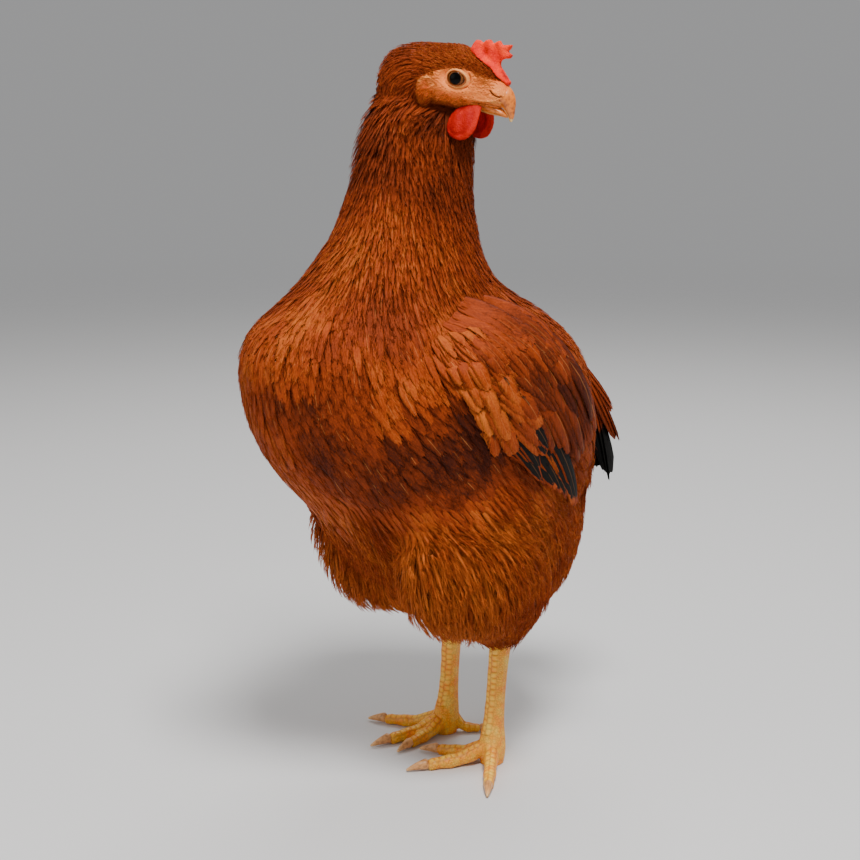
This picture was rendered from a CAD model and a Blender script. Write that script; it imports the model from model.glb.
"""A brown laying hen, standing, life size: the coat, skin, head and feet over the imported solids."""
from __future__ import annotations

import logging
import math
from dataclasses import dataclass
from enum import Enum
from typing import Any, Callable, ClassVar, Optional, Sequence, Union

import bpy
import numpy as np
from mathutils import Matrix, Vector
from mathutils.bvhtree import BVHTree


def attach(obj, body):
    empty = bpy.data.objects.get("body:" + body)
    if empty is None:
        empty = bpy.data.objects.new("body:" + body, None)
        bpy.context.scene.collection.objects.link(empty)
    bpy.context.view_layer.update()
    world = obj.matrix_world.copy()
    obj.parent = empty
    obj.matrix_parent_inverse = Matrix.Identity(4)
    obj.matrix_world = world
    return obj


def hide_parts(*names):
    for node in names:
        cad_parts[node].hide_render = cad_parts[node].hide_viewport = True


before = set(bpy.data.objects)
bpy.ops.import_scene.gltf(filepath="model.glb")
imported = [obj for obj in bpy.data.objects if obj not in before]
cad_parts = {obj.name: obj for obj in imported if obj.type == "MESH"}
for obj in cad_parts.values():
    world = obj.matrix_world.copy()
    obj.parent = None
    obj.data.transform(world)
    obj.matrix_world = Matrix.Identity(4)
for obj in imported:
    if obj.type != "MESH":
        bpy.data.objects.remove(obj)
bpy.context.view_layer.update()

LOG = logging.getLogger("hen")
Array = np.ndarray
Piece = bpy.types.Object

MM = 0.001
BODY = "root"
# How far behind the origin of the hen's dimensions the middle of its outline lies, in millimetres
BOX_FORWARD = 20.0


# ---- Places and shapes ----


def at(forward: Any, left: Any, up: Any) -> Array:
    """Give places in metres from millimetres forward, to the hen's left and up."""
    forward, left, up = np.broadcast_arrays(*(np.asarray(v, float) for v in (forward, left, up)))
    return np.stack([left, BOX_FORWARD - forward, up], axis=-1) * MM


def hen_sizes(points: Array) -> tuple[Array, Array, Array]:
    """Give how far forward, to the left and up places lie, in millimetres."""
    return BOX_FORWARD - points[..., 1] / MM, points[..., 0] / MM, points[..., 2] / MM


def unit(vectors: Array) -> Array:
    """Give vectors of length one."""
    return vectors / np.maximum(np.linalg.norm(vectors, axis=-1, keepdims=True), 1e-12)


def dot(a: Array, b: Array) -> Array:
    """Give the dot products over the last axis, which is kept."""
    return np.sum(a * b, axis=-1, keepdims=True)


def smooth(value: Any, low: float, high: float) -> Array:
    """Rise softly from 0 at low to 1 at high."""
    share = np.clip((np.asarray(value, float) - low) / (high - low), 0, 1)
    return share * share * (3 - 2 * share)


def mix(a: Any, b: Any, share: Any) -> Array:
    """Blend from a to b."""
    return a + (b - a) * share


def bell(value: Array, centre: Any, width: float) -> Array:
    """Give 1 at the centre, falling off softly to both sides."""
    return np.exp(-(((value - centre) / width) ** 2))


def vary(rng: np.random.Generator, shape: Any, amount: float) -> Array:
    """Draw amounts that scatter about 0, none of them far out."""
    return amount * rng.standard_normal(shape).clip(-2, 2)


def eased(rows: Sequence[Sequence[float]], steps: int) -> Array:
    """Ease rows of numbers from station to station by a Catmull-Rom curve.

    Args:
        rows: The stations.
        steps: How many even steps lie between the first and the last.

    Returns:
        One row for each of steps + 1 places.
    """
    table = np.asarray(rows, float)
    last = len(table) - 1
    place = np.linspace(0, last, steps + 1)
    start = np.minimum(np.floor(place).astype(int), last - 1)
    t = (place - start)[:, None]
    a, b, c, d = (table[np.clip(start + k, 0, last)] for k in (-1, 0, 1, 2))
    slope_in, slope_out = (c - a) / 2, (d - b) / 2
    bend = 3 * (c - b) - 2 * slope_in - slope_out
    twist = 2 * (b - c) + slope_in + slope_out
    return b + slope_in * t + bend * t**2 + twist * t**3


def circle(sides: int) -> Array:
    """Give the angles of a ring's points."""
    return np.arange(sides) / sides * 2 * math.pi


def directions(line: Array) -> Array:
    """Give the directions along a line at its points."""
    ends, last = np.arange(len(line)), len(line) - 1
    return unit(line[np.minimum(ends + 1, last)] - line[np.maximum(ends - 1, 0)])


def inside(outline: Sequence[Sequence[float]], x: Array, z: Array) -> Array:
    """Give how far inside a closed outline places lie, and less than 0 outside it.

    Args:
        outline: The corners of the outline.
        x: The places' first coordinates.
        z: Their second coordinates.

    Returns:
        The distances to the outline.
    """
    a = np.asarray(outline, float)
    edge = np.roll(a, -1, axis=0) - a
    from_corner = np.stack([x, z], axis=-1)[..., None, :] - a
    share = np.clip(np.sum(from_corner * edge, axis=-1) / np.sum(edge**2, axis=-1), 0, 1)
    gap = np.linalg.norm(from_corner - edge * share[..., None], axis=-1).min(axis=-1)
    spans = (from_corner[..., 1] < 0) != (from_corner[..., 1] < edge[:, 1])
    rise = np.where(edge[:, 1] == 0, 1e-9, edge[:, 1])
    before = from_corner[..., 0] < edge[:, 0] * from_corner[..., 1] / rise
    return np.where(np.sum(spans & before, axis=-1) % 2 == 1, gap, -gap)


LEFT = np.array([1.0, 0.0, 0.0])


@dataclass(frozen=True)
class HeadFrame:
    """The head's own frame: forward along the beak, to its left and up, from between the eyes."""

    forward_mm: float = 30.0
    left_mm: float = 30.0
    up_mm: float = 397.0
    turn: float = 115.0
    dip: float = 16.0

    @property
    def origin(self) -> Array:
        """Give the point midway between the eyes."""
        return at(self.forward_mm, self.left_mm, self.up_mm)

    @property
    def axes(self) -> Array:
        """Give the forward, left and up directions, one to a row."""
        turn, dip = math.radians(self.turn), math.radians(self.dip)
        level = np.array([math.sin(turn), -math.cos(turn), 0.0])
        left = np.cross([0.0, 0.0, 1.0], level)
        forward = level * math.cos(dip) - np.array([0, 0, math.sin(dip)])
        return np.stack([forward, left, np.cross(forward, left)])

    def place(self, local: Any) -> Array:
        """Give places in metres from millimetres in the head's frame."""
        return self.origin + np.asarray(local, float) * MM @ self.axes

    def local(self, points: Array) -> Array:
        """Give the head's own millimetres of places in metres."""
        return (points - self.origin) @ self.axes.T / MM

    def sizes(self, points: Array) -> tuple[Array, Array, Array]:
        """Give how far forward, left and up places lie on the head, in millimetres."""
        x, y, z = np.moveaxis(self.local(points), -1, 0)
        return x, y, z


HEAD = HeadFrame()


# ---- The bench: Blender's operators on one piece at a time ----


class Bench:
    """Making, joining and finishing pieces with Blender's own operators."""

    @staticmethod
    def pick(*pieces: Piece) -> Piece:
        """Select only these pieces and make the first the active one.

        Args:
            pieces: The pieces to select.

        Returns:
            The first piece.
        """
        bpy.ops.object.select_all(action="DESELECT")
        for piece in pieces:
            piece.select_set(True)
        bpy.context.view_layer.objects.active = pieces[0]
        return pieces[0]

    @staticmethod
    def named(piece: Piece, name: str) -> Piece:
        """Name a piece and its mesh."""
        piece.name = piece.data.name = name
        return piece

    @staticmethod
    def link(name: str, data: Any) -> Piece:
        """Add an object that shows some data to the scene."""
        added = bpy.data.objects.new(name, data)
        bpy.context.scene.collection.objects.link(added)
        return added

    @classmethod
    def copy_nodes(cls, name: str, *nodes: str) -> Piece:
        """Copy solids' meshes, merge their loose triangles and join them.

        Args:
            name: The new piece's name.
            nodes: The names of the solids.

        Returns:
            The joined copy.
        """
        copies = [cls.link(name, bpy.data.objects[node].data.copy()) for node in nodes]
        for copy in copies:
            copy.data.materials.clear()
        whole = cls.join(name, *copies)
        cls.edit(whole, lambda: bpy.ops.mesh.remove_doubles(threshold=2e-6))
        return whole

    @classmethod
    def join(cls, name: str, *pieces: Piece) -> Piece:
        """Join pieces into one object and name it."""
        whole = cls.pick(*pieces)
        if len(pieces) > 1:
            bpy.ops.object.join()
        return cls.named(whole, name)

    @classmethod
    def edit(cls, piece: Piece, *steps: Callable[[], Any]) -> Piece:
        """Run edit-mode operators on all of a piece's mesh.

        Args:
            piece: The piece to edit.
            steps: Operators to call, in order.

        Returns:
            The same piece.
        """
        cls.pick(piece)
        bpy.ops.object.mode_set(mode="EDIT")
        bpy.ops.mesh.select_all(action="SELECT")
        for step in steps:
            step()
        bpy.ops.object.mode_set(mode="OBJECT")
        return piece

    @classmethod
    def modify(cls, piece: Piece, kind: str, **settings: Any) -> Piece:
        """Add a modifier with its settings and apply it.

        Args:
            piece: The piece to change.
            kind: The modifier's type.
            settings: The modifier's own settings.

        Returns:
            The same piece.
        """
        cls.pick(piece)
        modifier = piece.modifiers.new(kind.lower(), kind)
        for setting, value in settings.items():
            setattr(modifier, setting, value)
        bpy.ops.object.modifier_apply(modifier=modifier.name)
        return piece

    @classmethod
    def remesh(cls, piece: Piece, voxel_mm: float, smoothing: int, factor: float = 0.6) -> Piece:
        """Fuse a piece into one even surface and ease it.

        Args:
            piece: The piece to fuse.
            voxel_mm: The size of the new faces in millimetres.
            smoothing: How many times the surface is eased.
            factor: How strong each easing is.

        Returns:
            The same piece.
        """
        cls.modify(piece, "REMESH", mode="VOXEL", voxel_size=voxel_mm * MM)
        cls.modify(piece, "SMOOTH", iterations=smoothing, factor=factor)
        return piece

    @staticmethod
    def read(items: Any, field: str, width: int = 1, kind: Any = float) -> Array:
        """Read one field of all of a mesh's items.

        Args:
            items: The mesh's points, faces or the like.
            field: The field's name.
            width: How many numbers each item has.
            kind: The type of the numbers.

        Returns:
            The numbers, in rows where each item has several.
        """
        flat = np.empty(len(items) * width, kind)
        items.foreach_get(field, flat)
        return flat.reshape(-1, width) if width > 1 else flat

    @classmethod
    def points(cls, piece: Piece) -> Array:
        """Give a mesh's points as an array."""
        return cls.read(piece.data.vertices, "co", 3)

    @classmethod
    def normals(cls, piece: Piece) -> Array:
        """Give the normals at a mesh's points."""
        return cls.read(piece.data.vertex_normals, "vector", 3)

    @classmethod
    def corners(cls, piece: Piece) -> Array:
        """Give the point at each corner of a mesh's faces."""
        return cls.read(piece.data.loops, "vertex_index", kind=np.int32)

    @staticmethod
    def set_points(piece: Piece, points: Array) -> None:
        """Move a mesh's points."""
        piece.data.vertices.foreach_set("co", points.astype(np.float32).ravel())
        piece.data.update()

    @staticmethod
    def attribute(piece: Piece, name: str, values: Any) -> None:
        """Store a number for each point of a mesh, or one for all."""
        layer = piece.data.attributes.new(name, "FLOAT", "POINT")
        table = np.broadcast_to(values, len(piece.data.vertices))
        layer.data.foreach_set("value", table.astype(np.float32))

    @classmethod
    def flat_map(cls, piece: Piece, name: str, places: Array) -> None:
        """Store a flat map from a place for each point of a mesh."""
        layer = piece.data.uv_layers.new(name=name)
        layer.data.foreach_set("uv", places[cls.corners(piece)].astype(np.float32).ravel())

    @staticmethod
    def drop_maps(piece: Piece) -> None:
        """Take off the maps that a mesh was made with."""
        for layer in list(piece.data.uv_layers):
            piece.data.uv_layers.remove(layer)

    @classmethod
    def tube(cls, name: str, sections: Array) -> Piece:
        """Make a closed tube through rings of points.

        A grid is added, laid along the rings, closed round and capped at both ends.

        Args:
            name: The piece's name.
            sections: The points, ring by ring.

        Returns:
            The tube.
        """
        rings, sides, _ = sections.shape
        bpy.ops.object.select_all(action="DESELECT")
        bpy.ops.mesh.primitive_grid_add(x_subdivisions=sides, y_subdivisions=rings - 1, size=1)
        piece = bpy.context.active_object
        closed = np.concatenate([sections, sections[:, :1]], axis=1)
        cls.set_points(piece, closed.reshape(-1, 3))
        cls.edit(
            piece,
            lambda: bpy.ops.mesh.remove_doubles(threshold=1e-6),
            lambda: bpy.ops.mesh.fill_holes(sides=sides),
            lambda: bpy.ops.mesh.normals_make_consistent(inside=False),
        )
        return cls.named(piece, name)

    @classmethod
    def finish(
        cls, piece: Piece, slot: str, *materials: bpy.types.Material, replaces: Sequence[str] = ()
    ) -> Piece:
        """Dress a finished piece and tie it to the body.

        Args:
            piece: The finished piece.
            slot: The record's material slot that it takes its finish from.
            materials: Its materials, in the order of its faces' indices.
            replaces: The solids that it stands for.

        Returns:
            The same piece.
        """
        if len(piece.data.materials) == 0:
            for material in materials:
                piece.data.materials.append(material)
        piece.data.polygons.foreach_set("use_smooth", np.ones(len(piece.data.polygons), bool))
        piece.data.update()
        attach(piece, BODY)
        if replaces:
            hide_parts(*replaces)
        triangles = sum(len(face.vertices) - 2 for face in piece.data.polygons)
        LOG.info("%s: %d triangles", piece.name, triangles)
        return piece


@dataclass(frozen=True)
class Loft:
    """A closed body through eased stations: forward, left, up, half width, then two radii across."""

    rows: Sequence[Sequence[float]]
    steps: int
    sides: int

    def mirrored(self) -> "Loft":
        """Give the same body on the hen's other side."""
        return Loft([(row[0], -row[1], *row[2:]) for row in self.rows], self.steps, self.sides)

    def frames(self, steps: int) -> tuple[Array, Array, Array, Array, Array]:
        """Work out the middle line, its directions and its radii at even steps.

        Args:
            steps: The number of steps.

        Returns:
            The centres, the directions along, across and out, and the three radii in metres.
        """
        table = eased(self.rows, steps)
        centres = at(table[:, 0], table[:, 1], table[:, 2])
        along = directions(centres)
        across = unit(LEFT - along * (along @ LEFT)[:, None])
        return centres, along, across, np.cross(along, across), table[:, 3:6] * MM

    def sections(self, shrink_mm: float = 0.0) -> Array:
        """Give the rings of points, drawn in by a distance."""
        centres, _, across, out, radii = self.frames(self.steps)
        angle = circle(self.sides)
        radii = np.maximum(radii - shrink_mm * MM, 0.5 * MM)
        reach = np.where(np.sin(angle) > 0, radii[:, 1:2], radii[:, 2:3])
        wide = np.cos(angle) * radii[:, :1]
        return (
            centres[:, None]
            + across[:, None] * wide[..., None]
            + out[:, None] * (np.sin(angle) * reach)[..., None]
        )

    def spots(self, share: float, angle: Array) -> tuple[Array, Array, Array, Array]:
        """Find places round the loft's face.

        Args:
            share: How far along the loft they lie, from 0 to 1.
            angle: Their angles round it, from the side to the facing radius.

        Returns:
            The places, the outward directions there, and the lengthwise and the facing direction.
        """
        steps = 200
        centres, along, across, out, radii = self.frames(steps)
        k = round(share * steps)
        wide, above, below = radii[k]
        cos, sin = np.cos(angle)[:, None], np.sin(angle)[:, None]
        reach = np.where(sin > 0, above, below)
        normal = unit(across[k] * cos / wide + out[k] * sin / reach)
        return centres[k] + across[k] * cos * wide + out[k] * sin * reach, normal, along[k], out[k]


# ---- Finishes ----


def linear(red: float, green: float, blue: float) -> tuple[float, float, float, float]:
    """Turn screen values from 0 to 255 into the shader's linear colour."""
    channels = (v / 255 for v in (red, green, blue))
    low = [v / 12.92 if v <= 0.04045 else ((v + 0.055) / 1.055) ** 2.4 for v in channels]
    return (*low, 1.0)


Number = Union["Value", float, int]


class Value:
    """A number that a shader socket carries, with arithmetic."""

    def __init__(self, graph: "Graph", socket: bpy.types.NodeSocket) -> None:
        """Keep the graph and the socket."""
        self.graph = graph
        self.socket = socket

    def math(self, operation: str, *others: Number) -> "Value":
        """Put the value first into a Math node."""
        return self.graph.math(operation, self, *others)

    def __add__(self, other: Number) -> "Value":
        """Add."""
        return self.math("ADD", other)

    __radd__ = __add__

    def __sub__(self, other: Number) -> "Value":
        """Subtract."""
        return self.math("SUBTRACT", other)

    def __rsub__(self, other: Number) -> "Value":
        """Subtract from a number."""
        return self.graph.math("SUBTRACT", other, self)

    def __mul__(self, other: Number) -> "Value":
        """Multiply."""
        return self.math("MULTIPLY", other)

    __rmul__ = __mul__

    def __truediv__(self, other: Number) -> "Value":
        """Divide."""
        return self.math("DIVIDE", other)

    def abs(self) -> "Value":
        """Drop the sign."""
        return self.math("ABSOLUTE")

    def smooth(self, low: float, high: float) -> "Value":
        """Rise softly from 0 at low to 1 at high, or fall where low is the larger."""
        return self.graph.smooth(self, low, high)


class Graph:
    """The nodes of one material."""

    def __init__(self, name: str) -> None:
        """Start a material with a Principled shader."""
        self.material = bpy.data.materials.new(name)
        self.material.use_nodes = True
        self.tree = self.material.node_tree
        self.tree.nodes.clear()
        self.shader = self.node("ShaderNodeBsdfPrincipled")
        output = self.node("ShaderNodeOutputMaterial")
        self.tree.links.new(self.shader.outputs[0], output.inputs["Surface"])

    def node(
        self,
        kind: str,
        settings: Optional[dict[str, Any]] = None,
        inputs: Optional[dict[Any, Any]] = None,
    ) -> bpy.types.Node:
        """Add a node.

        Args:
            kind: The node's type.
            settings: Its own settings, set first; "stops" holds a colour ramp's places and colours.
            inputs: The values or links of its sockets, by name or number.

        Returns:
            The node.
        """
        node = self.tree.nodes.new(kind)
        for setting, value in (settings or {}).items():
            if setting == "stops":
                self._set_stops(node.color_ramp, value)
            else:
                setattr(node, setting, value)
        for key, value in (inputs or {}).items():
            self.feed(node.inputs[key], value)
        return node

    @staticmethod
    def _set_stops(ramp: bpy.types.ColorRamp, stops: Sequence[tuple[float, Any]]) -> None:
        """Give a colour ramp its stops."""
        while len(ramp.elements) < len(stops):
            ramp.elements.new(1.0)
        for element, (place, colour) in zip(ramp.elements, stops):
            element.position, element.color = place, colour

    def feed(self, socket: bpy.types.NodeSocket, value: Any) -> None:
        """Link a value to a socket, or set a constant on it."""
        if isinstance(value, Value):
            self.tree.links.new(value.socket, socket)
        elif isinstance(value, bpy.types.NodeSocket):
            self.tree.links.new(value, socket)
        else:
            socket.default_value = value

    def math(self, operation: str, *values: Number) -> Value:
        """Work out a Math node."""
        node = self.node("ShaderNodeMath", {"operation": operation}, dict(enumerate(values)))
        return Value(self, node.outputs[0])

    def smooth(self, value: Number, low: float, high: float) -> Value:
        """Map a value to a soft step."""
        node = self.node(
            "ShaderNodeMapRange",
            {"interpolation_type": "SMOOTHSTEP"},
            {"Value": value, "From Min": low, "From Max": high},
        )
        return Value(self, node.outputs[0])

    def attribute(self, name: str) -> Value:
        """Read a number stored on the mesh."""
        return Value(self, self.node("ShaderNodeAttribute", {"attribute_name": name}).outputs["Fac"])

    def uv(self, name: str) -> tuple[Value, Value]:
        """Read the two numbers of a UV map."""
        return self.split(self.node("ShaderNodeUVMap", {"uv_map": name}).outputs[0])

    def split(self, vector: bpy.types.NodeSocket) -> tuple[Value, Value]:
        """Give the first two numbers of a vector."""
        parts = self.node("ShaderNodeSeparateXYZ", None, {0: vector})
        return Value(self, parts.outputs[0]), Value(self, parts.outputs[1])

    def place(self) -> bpy.types.NodeSocket:
        """Give the place on the piece in metres."""
        return self.node("ShaderNodeTexCoord").outputs["Object"]

    def vector(self, x: Number, y: Number, z: Number = 0.0) -> bpy.types.NodeSocket:
        """Join three numbers."""
        return self.node("ShaderNodeCombineXYZ", None, {0: x, 1: y, 2: z}).outputs[0]

    def noise(
        self, vector: bpy.types.NodeSocket, scale: float, detail: float = 2.0, roughness: float = 0.5
    ) -> Value:
        """Give soft noise about 0.5."""
        inputs = {"Vector": vector, "Scale": scale, "Detail": detail, "Roughness": roughness}
        return Value(self, self.node("ShaderNodeTexNoise", None, inputs).outputs[0])

    def cells(self, vector: bpy.types.NodeSocket, scale: float, edge: bool = True) -> Value:
        """Give the distance to the edge, or to the middle, of scattered cells."""
        feature = "DISTANCE_TO_EDGE" if edge else "F1"
        node = self.node("ShaderNodeTexVoronoi", {"feature": feature}, {"Vector": vector, "Scale": scale})
        return Value(self, node.outputs["Distance"])

    def blend(self, share: Number, first: Any, second: Any) -> bpy.types.NodeSocket:
        """Mix two colours."""
        node = self.node("ShaderNodeMix", {"data_type": "RGBA"})
        for socket, value in ((node.inputs[0], share), (node.inputs[6], first), (node.inputs[7], second)):
            self.feed(socket, value)
        return node.outputs[2]

    def ramp(self, value: Number, *stops: tuple[float, Any]) -> bpy.types.NodeSocket:
        """Colour a value by a ramp."""
        return self.node("ShaderNodeValToRGB", {"stops": stops}, {0: value}).outputs[0]

    def bump(self, height: Number, depth_mm: float) -> bpy.types.NodeSocket:
        """Turn a height from 0 to 1 into a bump of a depth in millimetres."""
        inputs = {"Height": height, "Distance": depth_mm * MM, "Strength": 1.0}
        return self.node("ShaderNodeBump", None, inputs).outputs[0]

    def shade(self, **sockets: Any) -> bpy.types.Material:
        """Set the shader's sockets, named with underscores for spaces, and give the material."""
        for name, value in sockets.items():
            self.feed(self.shader.inputs[name.replace("_", " ")], value)
        return self.material


@dataclass(frozen=True)
class PlumageFinish:
    """Feathers: a red-brown vane with barbs, a pale shaft and black patches."""

    name: str
    dark: tuple = linear(66, 20, 3)
    mid: tuple = linear(150, 57, 14)
    light: tuple = linear(208, 110, 36)
    black: tuple = linear(11, 8, 5)
    shaft: tuple = linear(208, 132, 70)
    barb_mm: float = 0.6
    barb_depth: float = 0.3

    def material(self) -> bpy.types.Material:
        """Build the feather material."""
        g = Graph(self.name)
        across, along = g.uv("Vane")
        barb, reach = g.uv("Barb")
        tone = g.attribute("Tone")
        streak = g.noise(g.vector(barb, reach * 0.07), 1 / self.barb_mm, 2.0, 0.6)
        fine = g.noise(g.vector(barb * 2.6, reach * 0.1), 1 / self.barb_mm, 1.0, 0.5)
        blotch = g.noise(g.place(), 45.0, 3.0, 0.6)
        grain = g.noise(g.place(), 1000.0, 2.0, 0.7)
        hair = (streak - 0.5) * 0.5 + (fine - 0.5) * 0.3 + (grain - 0.5) * 0.5
        level = tone + hair + (blotch - 0.5) * 0.5
        colour = g.ramp(level, (0.0, self.dark), (0.5, self.mid), (1.0, self.light))
        dark = g.attribute("Black") + (streak - 0.5) * 0.35
        colour = g.blend(dark.smooth(0.42, 0.58), colour, self.black)
        line = (1 - across.abs().smooth(0.02, 0.08)) * along.smooth(0.4, 0.6)
        colour = g.blend(line * g.attribute("Quill"), colour, self.shaft)
        height = streak + fine * 0.5 + (1 - across.abs().smooth(0.0, 0.12)) * 0.5
        return g.shade(
            Base_Color=colour,
            Roughness=0.66,
            Specular_IOR_Level=0.12,
            Normal=g.bump(height, self.barb_depth),
        )


@dataclass(frozen=True)
class HideFinish:
    """The skin below the coat, in the coat's own colours and darker."""

    dark: tuple = linear(78, 26, 5)
    mid: tuple = linear(136, 51, 11)
    light: tuple = linear(186, 90, 28)

    def material(self) -> bpy.types.Material:
        """Build the hide material."""
        g = Graph("hide")
        down = g.noise(g.place(), 900.0, 3.0, 0.65)
        level = g.attribute("Tone") + (down - 0.5) * 0.5
        colour = g.ramp(level, (0.0, self.dark), (0.5, self.mid), (1.0, self.light))
        return g.shade(Base_Color=colour, Roughness=0.8, Specular_IOR_Level=0.2, Normal=g.bump(down, 0.5))


@dataclass(frozen=True)
class FaceFinish:
    """Bare skin of the face: tan and finely wrinkled, flushed in parts, with dark creases."""

    skin: tuple = linear(246, 136, 58)
    flushed: tuple = linear(236, 98, 32)
    pale: tuple = linear(250, 176, 96)
    crease: tuple = linear(74, 26, 10)

    def material(self) -> bpy.types.Material:
        """Build the face material."""
        g = Graph("face skin")
        place = g.place()
        fine = g.noise(place, 1400.0, 4.0, 0.7)
        patch = g.noise(place, 260.0, 4.0, 0.65)
        wrinkle = g.cells(place, 900.0)
        flush = g.attribute("Flush") + (patch - 0.5) * 1.9 + (fine - 0.5) * 0.9
        colour = g.blend(flush.smooth(0.05, 0.95), self.skin, self.flushed)
        pale = g.attribute("Pale") + (fine - 0.5) * 0.5 + (patch - 0.5) * 0.4
        colour = g.blend(pale.smooth(0.1, 0.9), colour, self.pale)
        colour = g.blend((1 - wrinkle.smooth(0.0, 0.2)) * 0.3, colour, self.flushed)
        colour = g.blend(g.attribute("Crease").smooth(0.1, 1.0) * 0.85, colour, self.crease)
        height = wrinkle.smooth(0.0, 0.3) * 0.7 + fine * 0.6
        return g.shade(
            Base_Color=colour,
            Roughness=0.5,
            Specular_IOR_Level=0.22,
            Subsurface_Weight=0.15,
            Subsurface_Radius=(0.6, 0.25, 0.12),
            Subsurface_Scale=0.003,
            Normal=g.bump(height, 0.3),
        )


@dataclass(frozen=True)
class CombFinish:
    """Comb and wattles: soft red skin with fine papillae, paler along thin edges."""

    name: str = "comb skin"
    red: tuple = linear(242, 30, 2)
    pale: tuple = linear(255, 66, 10)
    deep: tuple = linear(172, 14, 3)

    def material(self) -> bpy.types.Material:
        """Build the comb material."""
        g = Graph(self.name)
        place = g.place()
        grain = g.cells(place, 1300.0, edge=False)
        patch = g.noise(place, 180.0, 3.0, 0.55)
        colour = g.ramp(patch, (0.3, self.deep), (0.5, self.red), (0.72, self.pale))
        colour = g.blend(grain.smooth(0.2, 0.7) * 0.3, colour, self.deep)
        colour = g.blend(g.attribute("Pale") * 0.7, colour, self.pale)
        colour = g.blend(g.attribute("Deep") * 0.8, colour, self.deep)
        return g.shade(
            Base_Color=colour,
            Roughness=0.55,
            Specular_IOR_Level=0.12,
            Subsurface_Weight=0.12,
            Subsurface_Radius=(1.0, 0.2, 0.1),
            Subsurface_Scale=0.003,
            Normal=g.bump(1 - grain, 0.25),
        )


@dataclass(frozen=True)
class HornFinish:
    """Horn of the beak and claws: streaked brown that pales towards the edges."""

    name: str
    body: tuple = linear(224, 120, 38)
    dark: tuple = linear(150, 68, 24)
    edge: tuple = linear(246, 200, 124)
    roughness: float = 0.28

    def material(self) -> bpy.types.Material:
        """Build the horn material."""
        g = Graph(self.name)
        place = g.place()
        streak = g.noise(place, 420.0, 4.0, 0.6)
        colour = g.ramp(streak, (0.3, self.dark), (0.55, self.body))
        colour = g.blend(g.attribute("Pale").smooth(0.1, 0.9), colour, self.edge)
        return g.shade(
            Base_Color=colour,
            Roughness=self.roughness,
            Specular_IOR_Level=0.5,
            Normal=g.bump(streak, 0.12),
        )


@dataclass(frozen=True)
class ScaleFinish:
    """Scaly skin of the feet: yellow tan plates, pinkish between the toes, with dusty creases."""

    plate: tuple = linear(255, 172, 38)
    warm: tuple = linear(252, 140, 32)
    pale: tuple = linear(255, 208, 80)
    crease: tuple = linear(150, 84, 34)
    wide_mm: float = 3.4
    high_mm: float = 3.5

    def material(self) -> bpy.types.Material:
        """Build the scale material."""
        g = Graph("scaly skin")
        place = g.place()
        cells = g.cells(place, 620.0)
        patch = g.noise(place, 140.0, 3.0, 0.6)
        fine = g.noise(place, 2200.0, 2.0, 0.6)
        colour = g.ramp(patch, (0.32, self.warm), (0.5, self.plate), (0.7, self.pale))
        plate = g.attribute("Plate")
        edge = self._to_edge(g)
        net = (1 - cells.smooth(0.0, 0.16)) * (1 - plate)
        groove = (1 - edge.smooth(0.0, 0.13)) * plate
        colour = g.blend(edge.smooth(0.1, 0.42) * plate * 0.5, colour, self.pale)
        colour = g.blend((net * 0.4 + groove * 0.5) * (fine + 0.4), colour, self.crease)
        height = cells.smooth(0.0, 0.3) * (1 - plate) * 0.6 + edge.smooth(0.0, 0.3) * plate + fine * 0.15
        return g.shade(
            Base_Color=colour, Roughness=0.42, Specular_IOR_Level=0.42, Normal=g.bump(height, 0.45)
        )

    def _to_edge(self, g: Graph) -> Value:
        """Give how far places lie from the edges of their plates, laid like bricks with round corners."""
        across, along = g.uv("Scute")
        column = across / self.wide_mm
        row = along / self.high_mm + column.math("FLOOR") * 0.5
        a, b = ((axis.math("FRACT") - 0.5).abs().math("POWER", 4.0) for axis in (column, row))
        return 0.5 - (a + b).math("POWER", 0.25)


@dataclass(frozen=True)
class EyeFinish:
    """The eye: a wide black pupil in a dark brown iris."""

    pupil_mm: float = 2.9
    iris_mm: float = 4.3

    def material(self) -> bpy.types.Material:
        """Build the eye material."""
        g = Graph("eye")
        x, y = g.uv("Iris")
        radius = (x * x + y * y).math("SQRT")
        ring = g.noise(g.vector(x, y), 1.6, 3.0, 0.6)
        colour = g.ramp(ring, (0.3, linear(70, 34, 14)), (0.7, linear(128, 74, 36)))
        colour = g.blend(1 - radius.smooth(self.pupil_mm, self.pupil_mm + 0.5), colour, linear(5, 4, 4))
        colour = g.blend(radius.smooth(self.iris_mm - 0.4, self.iris_mm + 0.2), colour, linear(24, 14, 9))
        return g.shade(Base_Color=colour, Roughness=0.05, Specular_IOR_Level=0.08)


# ---- The hide and the map of the coat ----

# Stations of the lofts under the wings' and the tail's feathers: forward, left, up and three radii
WING_ROWS = [
    (70, 57, 258, 5, 8, 8),
    (54, 64, 252, 10, 28, 26),
    (28, 68, 236, 12, 38, 38),
    (-4, 63, 212, 11, 34, 36),
    (-32, 53, 186, 8, 22, 24),
    (-50, 45, 164, 4, 8, 8),
]
TAIL_ROWS = [
    (-46, 0, 240, 20, 12, 12),
    (-66, 0, 222, 24, 12, 13),
    (-78, 0, 196, 18, 10, 11),
    (-82, 0, 170, 9, 5, 6),
]


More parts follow.
